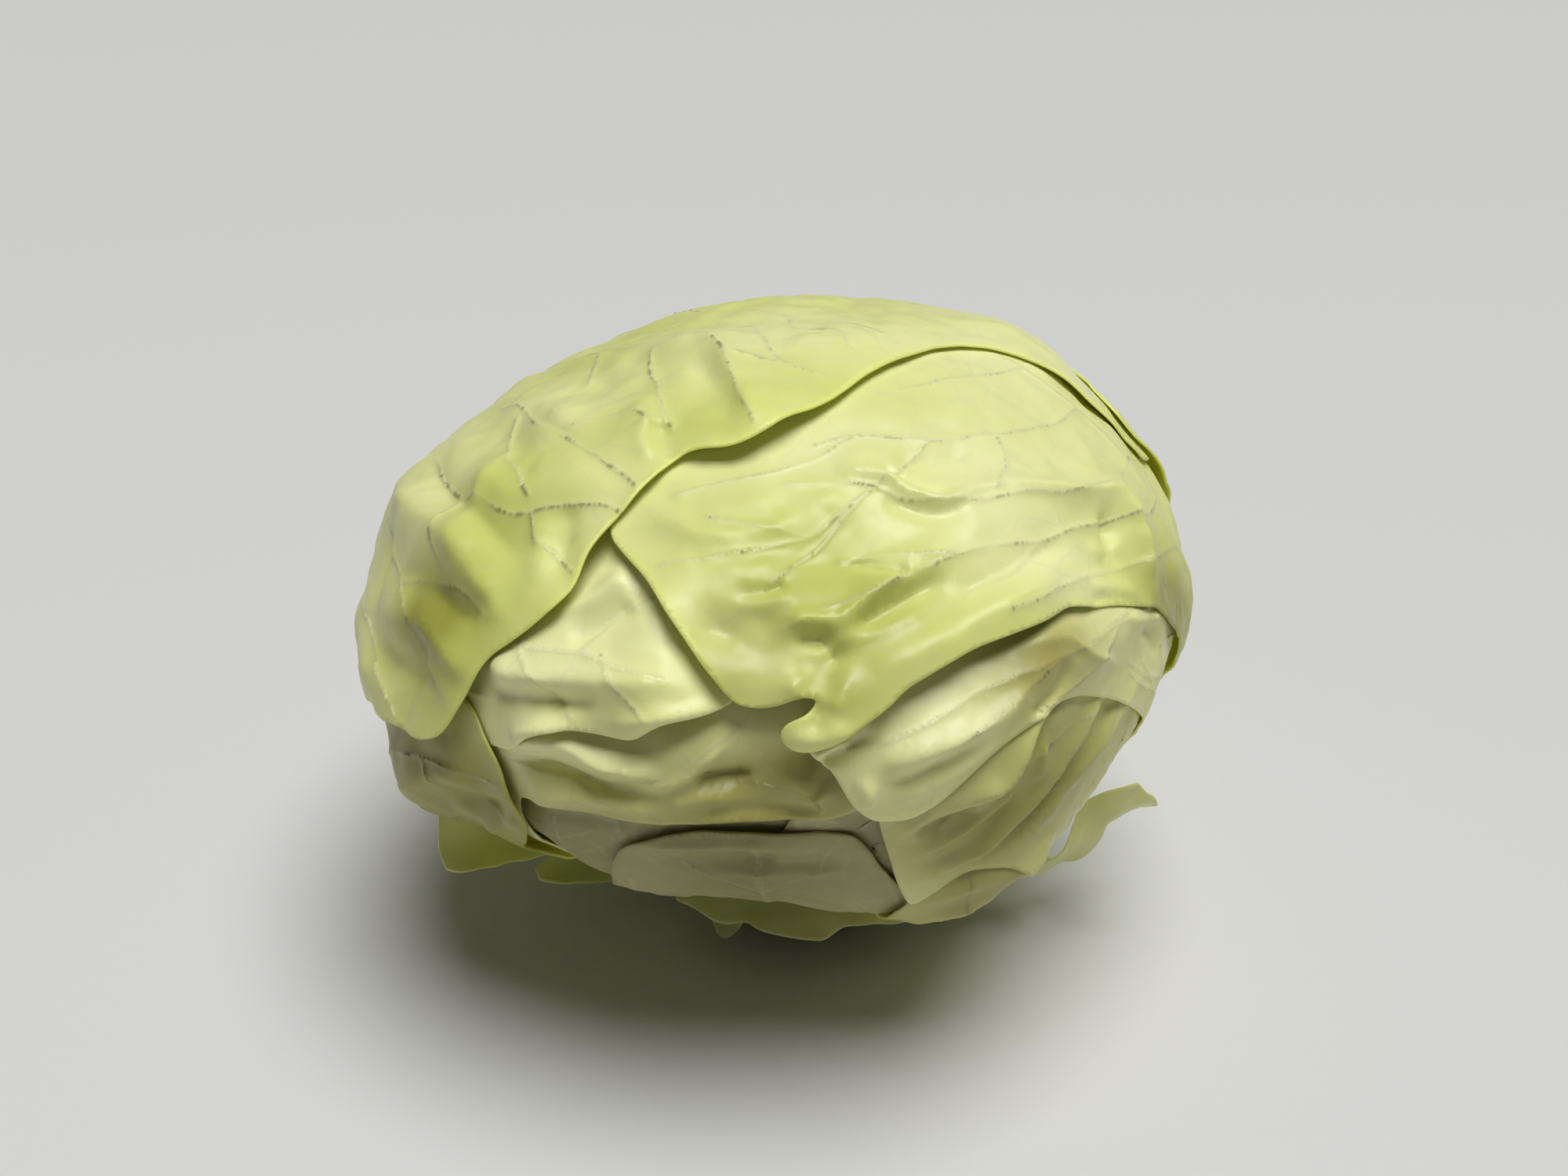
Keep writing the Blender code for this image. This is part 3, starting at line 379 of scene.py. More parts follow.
# Midribs that side veins grow from where they aren't drawn: leaf -> (line, first share used)
MIDRIBS = {
    "leaf_back": ([(-140, -74), (-136, -40), (-132, 0), (-128, 36), (-112, 66), (-60, 80)], 0.1),
    "leaf_right": ([(118, -74), (96, -45), (80, -15), (76, 12), (78, 38), (84, 56)], 0.1),
    "leaf_rear": ([(172, -74), (168, -40), (160, 0), (154, 26)], 0.1),
    "leaf_bulge": ([(-108, -74), (-104, -45), (-92, 0), (-70, 22), (-45, 30)], 0.2),
    "leaf_left_low": ([(-88, -74), (-80, -45), (-66, -14), (-52, 2)], 0.1),
    "leaf_fold_upper": ([(92, -74), (90, -45), (80, -10), (62, 12), (40, 13)], 0.1),
    "leaf_fold_middle": ([(70, -74), (68, -45), (60, -15), (46, 6)], 0.1),
    "leaf_fold_lower": ([(48, -74), (52, -45), (52, -14), (42, 6)], 0.1),
    "leaf_under_left": ([(-42, -74), (-38, -45), (-34, -15)], 0.1),
    "leaf_under_right": ([(28, -74), (28, -45), (28, -12)], 0.1),
    "leaf_under_front": ([(-6, -74), (-5, -45), (-4, -20)], 0.1),
    "leaf_front": ([(-66, -74), (-62, -45), (-52, -12), (-36, 3), (-17, 6)], 0.1),
}


class LeafSizes(PropertyGroup):
    thickness: FloatProperty(
        name="Thickness", description="Thickness of a leaf's blade", default=0.0006, unit="LENGTH")
    pucker_height: FloatProperty(
        name="Pucker height", description="Height of the soft bumps between the veins",
        default=0.0014, unit="LENGTH")
    pucker_size: FloatProperty(
        name="Pucker size", description="Width of the soft bumps", default=0.024, unit="LENGTH")
    vein_height: FloatProperty(
        name="Vein height", description="Height of the main veins", default=0.00020, unit="LENGTH")
    vein_width: FloatProperty(
        name="Vein half width", description="Half width of the main veins", default=0.0009,
        unit="LENGTH")
    edge_wave: FloatProperty(
        name="Edge wave", description="Height of the waves along an edge", default=0.0007,
        unit="LENGTH")


class LeafColours(PropertyGroup):
    green: FloatVectorProperty(
        name="Green", description="Colour of the outer leaves", subtype="COLOR", size=3,
        default=(0.63, 0.68, 0.17))
    pale: FloatVectorProperty(
        name="Pale", description="Colour of the paler patches and leaves", subtype="COLOR", size=3,
        default=(0.87, 0.87, 0.40))
    vein: FloatVectorProperty(
        name="Vein", description="Colour of the veins", subtype="COLOR", size=3,
        default=(0.66, 0.63, 0.37))
    # The edge colour paints a glow of light through the thin edges
    edge: FloatVectorProperty(
        name="Edge", description="Colour of the thin edges", subtype="COLOR", size=3,
        default=(0.74, 0.80, 0.22))
    torn: FloatVectorProperty(
        name="Torn", description="Colour of the torn leaf strips", subtype="COLOR", size=3,
        default=(0.54, 0.57, 0.21))
    roughness: FloatProperty(
        name="Roughness", description="Roughness of the leaf's skin", default=0.38, min=0.0,
        max=1.0)
    glow_depth: FloatProperty(
        name="Light depth", description="How far light spreads in a leaf", default=0.0030,
        unit="LENGTH")


class StemLook(PropertyGroup):
    cut: FloatVectorProperty(
        name="Cut", description="Colour of the browned cut face", subtype="COLOR", size=3,
        default=(0.20, 0.12, 0.055))
    skin: FloatVectorProperty(
        name="Skin", description="Colour of the stem above the cut", subtype="COLOR", size=3,
        default=(0.52, 0.52, 0.26))


class StageLook(PropertyGroup):
    floor: FloatVectorProperty(
        name="Floor", description="Colour of the floor", subtype="COLOR", size=3,
        default=(0.60, 0.60, 0.585))
    key_strength: FloatProperty(
        name="Main light", default=3.35, description="Strength of the broad light from above")
    key_angle: FloatProperty(
        name="Main light's width", default=math.radians(38.0),
        description="Angle that the light from above fills", subtype="ANGLE")
    surround: FloatProperty(
        name="Surround", description="Strength of the light from all round", default=0.07)
    detail: FloatProperty(
        name="Detail", description="Longest edge of a leaf's mesh", default=0.0018, min=0.0005,
        unit="LENGTH")


# Places on the head

def direction(lon, lat):
    lon, lat = math.radians(lon), math.radians(lat)
    return np.array([math.cos(lat) * math.sin(lon), -math.cos(lat) * math.cos(lon),
                     math.sin(lat)])


def lean_matrix():
    c, s = math.cos(HEAD_LEAN), math.sin(HEAD_LEAN)
    return np.array([[c, 0.0, -s], [0.0, 1.0, 0.0], [s, 0.0, c]])


def unit(vectors):
    return vectors / np.linalg.norm(vectors, axis=1)[:, None]


def head_normals(directions):
    return unit(directions / HEAD_RADII) @ lean_matrix().T


def head_points(directions, heights=0.0):
    base = HEAD_CENTRE + (directions * HEAD_RADII) @ lean_matrix().T
    return base + head_normals(directions) * np.reshape(heights, (-1, 1))


def head_coordinates(points):
    """Directions and heights of points near the head's surface."""
    local = (points - HEAD_CENTRE) @ lean_matrix()
    directions = unit(local / HEAD_RADII)
    for _ in range(6):
        normals = unit(directions / HEAD_RADII)
        heights = ((local - directions * HEAD_RADII) * normals).sum(axis=1)
        directions = unit((local - normals * heights[:, None]) / HEAD_RADII)
    return directions, heights


def smooth_path(places):
    """Directions along a smooth open curve through the places."""
    points = [direction(*place) for place in places]
    last = len(points) - 1
    result = []
    for i in range(last):
        p0, p1, p2, p3 = (points[min(max(i + k - 1, 0), last)] for k in range(4))
        for step in range(SPAN_STEPS):
            t = step / SPAN_STEPS
            result.append(0.5 * (2 * p1 + (p2 - p0) * t + (2 * p0 - 5 * p1 + 4 * p2 - p3) * t ** 2
                                 + (3 * p1 - p0 - 3 * p2 + p3) * t ** 3))
    result.append(points[-1])
    return unit(np.array(result))


def path_distance(places, path, reach):
    """Distance of places to a path of points and the share of its length, as far as a reach."""
    best = np.full(len(places), 1.0)
    share = np.zeros(len(places))
    low, high = path.min(axis=0) - reach, path.max(axis=0) + reach
    near = np.nonzero(((places > low) & (places < high)).all(axis=1))[0]
    spots = places[near]
    for i in range(len(path) - 1):
        start, span = path[i], path[i + 1] - path[i]
        t = np.clip((spots - start) @ span / max(span @ span, 1e-12), 0.0, 1.0)
        gap = np.linalg.norm(spots - start - t[:, None] * span, axis=1)
        closer = gap < best[near]
        best[near[closer]] = gap[closer]
        share[near[closer]] = (i + t[closer]) / (len(path) - 1)
    return best, share


class LineSet:
    """Lines on the head, for the distance of many places to the nearest of them."""

    def __init__(self, lines):
        self.starts = np.concatenate([line[:-1] for line in lines])
        self.ends = np.concatenate([line[1:] for line in lines])
        self.tree = KDTree(SPAN_MARKS * len(self.starts))
        for i, (start, end) in enumerate(zip(self.starts, self.ends)):
            for k in range(SPAN_MARKS):
                self.tree.insert(start + (k + 0.5) / SPAN_MARKS * (end - start), i)
        self.tree.balance()

    def nearest(self, places):
        """Distance of each place to the lines, and the nearest point on them."""
        index = np.array([self.tree.find(place)[1] for place in places])
        start, span = self.starts[index], self.ends[index] - self.starts[index]
        t = ((places - start) * span).sum(axis=1) / np.maximum((span ** 2).sum(axis=1), 1e-12)
        foot = start + np.clip(t, 0.0, 1.0)[:, None] * span
        return np.linalg.norm(places - foot, axis=1), foot


# Leaf sheets

def welded_copy(node):
    """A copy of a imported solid's mesh with its corners joined."""
    bm = bmesh.new()
    bm.from_mesh(frame["nodes"][node].data)
    bmesh.ops.remove_doubles(bm, verts=bm.verts, dist=WELD)
    return bm


def point_tree(places):
    tree = KDTree(len(places))
    for i, place in enumerate(places):
        tree.insert(place, i)
    tree.balance()
    return tree


def surface_tree(points, mesh):
    return BVHTree.FromPolygons(points, [tuple(face.vertices) for face in mesh.polygons])


def outer_sheet(node, above):
    """A copy of a leaf's outer sheet, laid on the head. Layers hold each corner's height and
    whether another leaf lies over it."""
    bm = welded_copy(node)
    points = np.array([tuple(vert.co) for vert in bm.verts])
    directions, heights = head_coordinates(points)
    flat, normals = head_points(directions), head_normals(directions)
    tree = point_tree(directions)
    height = bm.verts.layers.float.new("height")
    covered = bm.verts.layers.float.new("covered")
    inner = []
    for i, vert in enumerate(bm.verts):
        vert[height] = heights[i]
        vert.co = flat[i]
        hidden = any(leaf.ray_cast(Vector(points[i]), Vector(normals[i]))[0] for leaf in above)
        vert[covered] = float(hidden)
        pair = [index for _, index, _ in tree.find_range(directions[i], SAME_PLACE)]
        if heights[i] < max(heights[k] for k in pair) - WELD:
            inner.append(vert)
    bmesh.ops.delete(bm, geom=inner, context="VERTS")
    return bm


class Sheet:
    """A leaf's outer sheet laid flat on the head, with the heights of its corners."""

    def __init__(self, node, length):
        self.node = node
        later = [frame["nodes"][name].data for name in LEAF_ORDER[LEAF_ORDER.index(node) + 1:]]
        self.bm = outer_sheet(node, [surface_tree([vert.co for vert in mesh.vertices], mesh)
                                     for mesh in later])
        self.read()
        while self.divide(length):
            pass
        places = self.rounded(self.flat, PLACE_ROUNDS)
        self.flat = head_points(head_coordinates(places)[0])
        height_rounds = int(HEIGHT_ROUNDS * (HEIGHT_EDGE / length) ** 2)
        self.heights = self.rounded(self.heights[:, None], height_rounds)[:, 0]
        layer = self.bm.verts.layers.float["height"]
        for vert, point, height in zip(self.bm.verts, self.flat, self.heights):
            vert.co = point
            vert[layer] = height

    def read(self):
        layer = self.bm.verts.layers.float["height"]
        self.bm.verts.index_update()
        self.flat = np.array([tuple(vert.co) for vert in self.bm.verts])
        self.heights = np.array([vert[layer] for vert in self.bm.verts])
        self.border = np.array([vert.is_boundary for vert in self.bm.verts])
        self.edges = np.array([[v.index for v in edge.verts] for edge in self.bm.edges])
        self.border_edges = self.edges[[edge.is_boundary for edge in self.bm.edges]]

    def divide(self, length, near=None):
        """Halve edges over a length, the longest of each face at a time, and say if any were.
        Edges under other leaves may be longer. With near, only open edges there are halved."""
        covered = self.bm.verts.layers.float["covered"]
        covers = np.array([vert[covered] for vert in self.bm.verts])[self.edges].sum(axis=1)
        hidden = covers > 1.99    # both ends are covered
        size = np.linalg.norm(self.flat[self.edges[:, 0]] - self.flat[self.edges[:, 1]], axis=1)
        chosen = size > np.where(hidden, HIDDEN_COARSENESS * length, length)
        if near is not None:
            chosen &= near[self.edges].all(axis=1) & ~hidden
        self.bm.edges.index_update()
        # A tiny slope, so that no two edges count as equally long
        slope = 1e-9 * np.arange(len(size)) / len(size)
        rank = np.where(chosen, size + slope, 0.0).tolist()
        longest = [edge for edge, size in zip(self.bm.edges, rank) if size
                   and all(size >= rank[other.index] for face in edge.link_faces
                           for other in face.edges)]
        if longest:
            bmesh.ops.subdivide_edges(self.bm, edges=longest, cuts=1, use_single_edge=True)
            self.read()
        return bool(longest)

    def mean_of_neighbours(self, values, edges):
        count = np.bincount(edges.ravel(), minlength=len(values))
        total = np.zeros_like(values)
        for axis in range(values.shape[1]):
            column = values[:, axis]
            total[:, axis] = (
                np.bincount(edges[:, 0], weights=column[edges[:, 1]], minlength=len(values))
                + np.bincount(edges[:, 1], weights=column[edges[:, 0]], minlength=len(values)))
        return total / np.maximum(count, 1)[:, None]

    def rounded(self, values, steps):
        """Values averaged with their neighbours, those on the outline only along it."""
        for _ in range(steps):
            inside = self.mean_of_neighbours(values, self.edges)
            along = self.mean_of_neighbours(values, self.border_edges)
            values = 0.5 * values + 0.5 * np.where(self.border[:, None], along, inside)
        return values

    def refine_along(self, lines, reach, length):
        """Divide the open part more finely beside some lines, lay corners on them, and return
        each corner's distance to them."""
        for _ in range(FINE_PASSES if reach else 0):
            self.divide(length, lines.nearest(self.flat)[0] < reach)
        distance, foot = lines.nearest(self.flat)
        moved = (distance < SNAP_SHARE * length) & ~self.border
        self.flat[moved] = foot[moved]
        distance[moved] = 0.0
        return distance

    def border_distance(self):
        tree = point_tree(self.flat[self.border])
        return np.array([tree.find(place)[2] for place in self.flat])


def walk(start, heading, stride, bends):
    """Places over the unit ball, a stride apart, that turn a little at each bend."""
    line = [start]
    for bend in bends:
        up = line[-1]
        heading = heading - up * (heading @ up)
        heading /= np.linalg.norm(heading)
        heading = heading + np.cross(up, heading) * bend
        following = up + heading * stride
        line.append(following / np.linalg.norm(following))
    return np.array(line)


def grown_veins(node):
    """A leaf's midrib, then side veins with a twig each that grow from it and curve towards
    its tip."""
    line, first = MIDRIBS[node]
    path = smooth_path(line)
    seed = LEAF_ORDER.index(node) * 7.3
    lines = [path]
    for k in range(SIDE_VEINS):
        share = first + (LAST_SHARE - first) * (k + 0.5) / SIDE_VEINS
        index = min(int(share * (len(path) - 1)), len(path) - 2)
        place = path[index]
        up = place / np.linalg.norm(place)
        ahead = path[index + 1] - place
        ahead = ahead / np.linalg.norm(ahead)
        for side in (-1, 1):
            spread = VEIN_ANGLE_SPREAD * noise.noise((k * 1.7, side * 3.1, seed))
            turn = side * math.radians(VEIN_ANGLE + spread)
            heading = ahead * math.cos(turn) + np.cross(up, ahead) * math.sin(turn)
            wander = [noise.noise((k * 2.3 + step * 0.35, side, seed))
                      for step in range(VEIN_STEPS)]
            branch = walk(place, heading, VEIN_STRIDE,
                          [-side * VEIN_BEND + VEIN_WANDER * bend for bend in wander])
            fork = branch[TWIG_START]
            heading = branch[TWIG_START + 1] - fork
            heading = heading + np.cross(fork, heading) * (-side * TWIG_TURN)
            lines += [branch, walk(fork, heading, TWIG_STRIDE, [0.0] * TWIG_STEPS)]
    return lines


def vein_lines(node):
    """A leaf's veins as lines on the head: the drawn ones, its midrib, and the grown ones as
    far as they keep clear of the drawn ones."""
    drawn = [smooth_path(line) for line in VEINS.get(node, [])]
    midrib, *grown = grown_veins(node)
    if drawn:
        marks = np.concatenate(drawn)
        kept = []
        for path in grown:
            gaps = np.linalg.norm(path[:, None, :] - marks[None, :, :], axis=2).min(axis=1)
            clear = gaps > VEIN_SPACING
            stop = len(path) if clear.all() else int(np.argmin(clear))
            if stop >= FEWEST_STEPS:
                kept.append(path[:stop])
        grown = kept
    return [wavering(head_points(path)) for path in (*drawn, midrib, *grown)]


def wavering(line):
    """A line shifted a little from side to side."""
    shifts = [noise.noise_vector(Vector(point) / VEIN_SHIFT_SIZE) * VEIN_SHIFT for point in line]
    return line + np.array([tuple(shift) for shift in shifts])


def fractal(points, size, seed, octaves=3):
    """Soft noise of about -1 to 1, with bumps of the given size in metres."""
    offset = Vector((seed, seed * 1.7, -seed * 0.6))
    scale = 1.0 / size
    return np.array([noise.fractal(Vector(p) * scale + offset, 1.0, 2.0, octaves)
                     for p in points])


def tones(node, directions):
    """Paleness, partly painted light, and painted shade of places on a leaf, from its patches."""
    pale = np.zeros(len(directions))
    shade = np.zeros(len(directions))
    for place, radius, paleness, painted_darkness in TONES.get(node, []):
        angle = np.arccos(np.clip(directions @ direction(*place), -1.0, 1.0))
        weight = np.exp(-(angle / math.radians(radius)) ** 2)
        pale += paleness * weight
        shade += painted_darkness * weight
    return pale, np.clip(shade, -0.2, 1.0)


def add_relief(sheet, distance, border):
    """Creases, puckers, raised veins and waves along the edge, from the distances of the
    sheet's corners to its veins and its outline."""
    sizes = bpy.context.scene.leaf_sizes
    places = sheet.flat
    total = np.zeros(len(places))
    depth = CREASE_DEPTHS.get(sheet.node, CREASE_DEPTH)
    for line, half_width, height in CREASES.get(sheet.node, []):
        gap, share = path_distance(places, head_points(smooth_path(line)),
                                   CREASE_REACH * half_width)
        fade = CREASE_GROWTH * np.minimum(share, 1.0 - share) + CREASE_START
        profile = np.exp(-(gap / (MILLIMETRE * half_width)) ** CREASE_SHARPNESS)
        total += MILLIMETRE * depth * height * np.clip(fade, 0.0, 1.0) * profile
    seed = 3.1 * LEAF_ORDER.index(sheet.node) + 1.0
    soft = fractal(places, sizes.pucker_size, seed)
    fine = fractal(places, sizes.pucker_size * FINE_SIZE, seed + 9.0, 2)
    between = np.clip(distance / BUMP_VEIN_REACH, 0.0, 1.0)
    inset = np.clip(border / BUMP_EDGE_REACH, BUMP_ON_EDGE, 1.0)
    soft *= SOFT_ON_VEIN + (1.0 - SOFT_ON_VEIN) * between
    fine *= FINE_ON_VEIN + (1.0 - FINE_ON_VEIN) * between
    total += sizes.pucker_height * (soft + FINE_HEIGHT * fine) * inset
    groove = np.exp(-((distance - GROOVE_PLACE) / GROOVE_WIDTH) ** 2)
    total += sizes.vein_height * np.exp(-(distance / sizes.vein_width) ** 2)
    total -= GROOVE_DEPTH * sizes.vein_height * groove
    wave = fractal(places, WAVE_SIZE, seed + 20.0, 2)
    total += sizes.edge_wave * wave * np.clip(1.0 - border / WAVE_REACH, 0.0, 1.0)
    sheet.heights = sheet.heights + sheet.rounded(total[:, None], RELIEF_ROUNDS)[:, 0]


def keep_clear(sheet, directions, below):
    """Raise the sheet where it would come too close to what lies under it."""
    normals = head_normals(directions)
    starts = head_points(directions, RAY_HEIGHT)
    floor = np.full(len(normals), -1.0)
    for tree, low, high in below:
        inside = np.nonzero(((starts > low - RAY_HEIGHT)
                             & (starts < high + RAY_HEIGHT)).all(axis=1))[0]
        for i in inside:
            hit = tree.ray_cast(Vector(starts[i]), Vector(-normals[i]), 2 * RAY_HEIGHT)
            if hit[0] is not None:
                floor[i] = max(floor[i], RAY_HEIGHT - hit[3])
    gap = bpy.context.scene.leaf_sizes.thickness + LEAF_GAP
    lift = np.maximum(floor + gap - sheet.heights, 0.0)[:, None]
    values = lift
    for _ in range(LIFT_ROUNDS):
        values = np.maximum(lift, sheet.rounded(values, 1))
    sheet.heights = sheet.heights + values[:, 0]


def set_attribute(mesh, name, values):
    attribute = mesh.attributes.new(name, "FLOAT", "POINT")
    attribute.data.foreach_set("value", values.astype(np.float32))


def add_object(name, data):
    thing = bpy.data.objects.new(name, data)
    bpy.context.scene.collection.objects.link(thing)
    return thing


def make_leaf(node, below):
    """Dress one leaf. Return its object, and a tree and the box of its outer surface."""
    coarseness = COARSENESS.get(node, 1.0)
    length = bpy.context.scene.stage_look.detail * coarseness
    sheet = Sheet(node, length)
    reach = FINE_REACH if coarseness < FINE_COARSENESS else 0.0
    distance = sheet.refine_along(LineSet(vein_lines(node)), reach, FINE_SHARE * length)
    border = sheet.border_distance()
    add_relief(sheet, distance, border)
    directions = head_coordinates(sheet.flat)[0]
    keep_clear(sheet, directions, below)
    points = head_points(directions, sheet.heights)
    for vert, point in zip(sheet.bm.verts, points):
        vert.co = point
    mesh = bpy.data.meshes.new(node + "_leaf")
    sheet.bm.to_mesh(mesh)
    sheet.bm.free()
    # Paleness, partly painted light on lit ridges, and painted shade are kept as attributes
    pale, shade = tones(node, directions)
    for name, values in (("vein", distance), ("border", border), ("pale", pale),
                         ("shade", shade)):
        set_attribute(mesh, name, values)
    mesh.shade_smooth()
    leaf = add_object(node + "_leaf", mesh)
    shell = leaf.modifiers.new("thickness", "SOLIDIFY")
    shell.thickness = bpy.context.scene.leaf_sizes.thickness
    shell.offset = -1.0
    tree = surface_tree([tuple(point) for point in points], mesh)
    return leaf, (tree, points.min(axis=0), points.max(axis=0))


# Materials

def feed(tree, socket, value):
    """Link a socket from another one, or set its value or colour."""
    if isinstance(value, bpy.types.NodeSocket):
        tree.links.new(value, socket)
    else:
        socket.default_value = (*value[:3], 1.0) if socket.type == "RGBA" else value


def feed_all(tree, node, values):
    for label, value in values.items():
        feed(tree, node.inputs[label], value)


def add_node(tree, kind, **values):
    node = tree.nodes.new(kind)
    for name, value in values.items():
        setattr(node, name, value)
    return node


def mix_colour(tree, factor, first, second, blend="MIX"):
    node = add_node(tree, "ShaderNodeMix", data_type="RGBA", blend_type=blend)
    for index, value in ((0, factor), (6, first), (7, second)):
        feed(tree, node.inputs[index], value)
    return node.outputs[2]


def math_node(tree, operation, *values):
    node = add_node(tree, "ShaderNodeMath", operation=operation)
    for socket, value in zip(node.inputs, values):
        feed(tree, socket, value)
    return node.outputs[0]


def map_range(tree, value, low, high, to_low=0.0, to_high=1.0):
    node = add_node(tree, "ShaderNodeMapRange", interpolation_type="SMOOTHSTEP")
    for socket, number in zip(node.inputs, (value, low, high, to_low, to_high)):
        feed(tree, socket, number)
    return node.outputs[0]


def noise_texture(tree, vector, scale, detail, roughness=0.5):
    node = add_node(tree, "ShaderNodeTexNoise")
    feed_all(tree, node, {"Vector": vector, "Scale": scale, "Detail": detail,
                          "Roughness": roughness})
    return node.outputs["Fac"]


def cell_edges(tree, vector, scale):
    node = add_node(tree, "ShaderNodeTexVoronoi", feature="DISTANCE_TO_EDGE")
    feed_all(tree, node, {"Vector": vector, "Scale": scale})
    return node.outputs["Distance"]


def attribute_value(tree, name):
    return add_node(tree, "ShaderNodeAttribute", attribute_name=name).outputs["Fac"]


def new_material(name):
    material = bpy.data.materials.new(name)
    material.use_nodes = True
    return material, material.node_tree, material.node_tree.nodes["Principled BSDF"]


def add_bump(tree, shader, height, strength, distance):
    bump = add_node(tree, "ShaderNodeBump")
    feed_all(tree, bump, {"Strength": strength, "Distance": distance, "Height": height})
    feed(tree, shader.inputs["Normal"], bump.outputs["Normal"])


def leaf_tissue_group():
    """Group: colour, roughness and height of a leaf's skin, with veins, a net, an edge with a
    painted glow, and painted shade.
    """
    name = "leaf tissue"
    if name in bpy.data.node_groups:
        return bpy.data.node_groups[name]
    group = bpy.data.node_groups.new(name, "ShaderNodeTree")
    for flow, kind, labels in (
            ("INPUT", "Color", ("Green", "Pale", "Vein Colour", "Edge Colour")),
            ("INPUT", "Float", ("Paleness", "Roughness", "Vein Width")),
            ("OUTPUT", "Color", ("Colour",)), ("OUTPUT", "Float", ("Roughness", "Height"))):
        for label in labels:
            group.interface.new_socket(label, in_out=flow, socket_type="NodeSocket" + kind)
    source = group.nodes.new("NodeGroupInput").outputs
    target = group.nodes.new("NodeGroupOutput").inputs
    place = add_node(group, "ShaderNodeTexCoord").outputs["Object"]

    patches = noise_texture(group, place, scale=15.0, detail=2.0)
    patches = math_node(group, "ADD", patches, source["Paleness"])
    # The pale attribute lightens the patches: the leaves' own pale patches and painted light on
    # lit ridges
    pale = math_node(group, "MULTIPLY", attribute_value(group, "pale"), 0.30)
    patches = map_range(group, math_node(group, "ADD", patches, pale), 0.72, 1.30)
    colour = mix_colour(group, patches, source["Green"], source["Pale"])

    warp = noise_texture(group, place, scale=60.0, detail=2.0).node.outputs["Color"]
    bent = add_node(group, "ShaderNodeVectorMath", operation="MULTIPLY_ADD")
    for socket, value in zip(bent.inputs, (warp, (0.010, 0.010, 0.010), place)):
        feed(group, socket, value)
    net = cell_edges(group, bent.outputs[0], scale=62.0)
    net = map_range(group, net, 0.0, 0.045, 1.0, 0.0)
    veil = noise_texture(group, place, scale=33.0, detail=2.0)
    net = math_node(group, "MULTIPLY", net, map_range(group, veil, 0.38, 0.62))

    vein_mask = map_range(group, attribute_value(group, "vein"), 0.0, source["Vein Width"],
                          1.0, 0.0)
    # Painted glow: a yellow-green band along the thin edges stands in for light coming through
    # them
    edge_glow_mask = map_range(group, attribute_value(group, "border"), 0.0002, 0.0030, 1.0, 0.0)
    colour = mix_colour(group, math_node(group, "MULTIPLY", edge_glow_mask, 0.5), colour,
                        source["Edge Colour"])
    lines = math_node(group, "MAXIMUM", math_node(group, "MULTIPLY", net, 0.20),
                      math_node(group, "MULTIPLY", vein_mask, 0.42))
    colour = mix_colour(group, lines, colour, source["Vein Colour"])
    # Painted shade: the shade attribute multiplies the colour towards FULL_SHADE
    colour = mix_colour(group, attribute_value(group, "shade"), colour, FULL_SHADE, "MULTIPLY")
    feed(group, target["Colour"], colour)

    skin = noise_texture(group, place, scale=180.0, detail=1.0)
    rough = map_range(group, skin, 0.3, 0.7, -0.06, 0.08)
    feed(group, target["Roughness"], math_node(group, "ADD", rough, source["Roughness"]))
    feed(group, target["Height"], math_node(group, "ADD",
                                            math_node(group, "MULTIPLY", vein_mask, 0.6),
                                            math_node(group, "MULTIPLY", skin, 0.3)))
    return group


def leaf_material(name, green, pale, edge, paleness, rougher=0.0):
    """A satin leaf that light spreads a little way into."""
    sizes, colours = bpy.context.scene.leaf_sizes, bpy.context.scene.leaf_colours
    material, tree, shader = new_material(name)
    tissue = add_node(tree, "ShaderNodeGroup", node_tree=leaf_tissue_group())
    feed_all(tree, tissue, {
        "Green": green, "Pale": pale, "Vein Colour": colours.vein, "Edge Colour": edge,
        "Paleness": paleness, "Roughness": colours.roughness + rougher,
        "Vein Width": 1.25 * sizes.vein_width})
    add_bump(tree, shader, tissue.outputs["Height"], strength=0.6, distance=0.0003)
    feed_all(tree, shader, {
        "Base Color": tissue.outputs["Colour"], "Roughness": tissue.outputs["Roughness"],
        "Subsurface Weight": 0.45, "Subsurface Radius": (1.0, 0.95, 0.25),
        "Subsurface Scale": colours.glow_depth, "IOR": 1.42, "Specular IOR Level": 0.42})
    return material


def leaf_materials():
    """One material for each of the record's slots for leaves, torn pieces and the heart."""
    colours = bpy.context.scene.leaf_colours
    green, pale, edge = colours.green, colours.pale, colours.edge
    return {
        "leaf_green": leaf_material("leaf green", green, pale, edge, 0.50),
        "leaf_pale": leaf_material("leaf pale", green, pale, pale, 0.62),
        # A darker copy of the leaf colours that paints shade on the leaves of this slot
        "leaf_shade": leaf_material("leaf shade", SHADE_GREEN, SHADE_PALE, SHADE_GREEN, 0.5,
                                    rougher=0.05),
        "leaf_torn": leaf_material("leaf torn", colours.torn, TORN_PALE, edge, 0.55),
        "heart_pale": leaf_material("heart", HEART_GREEN, HEART_PALE, pale, 0.6),
    }


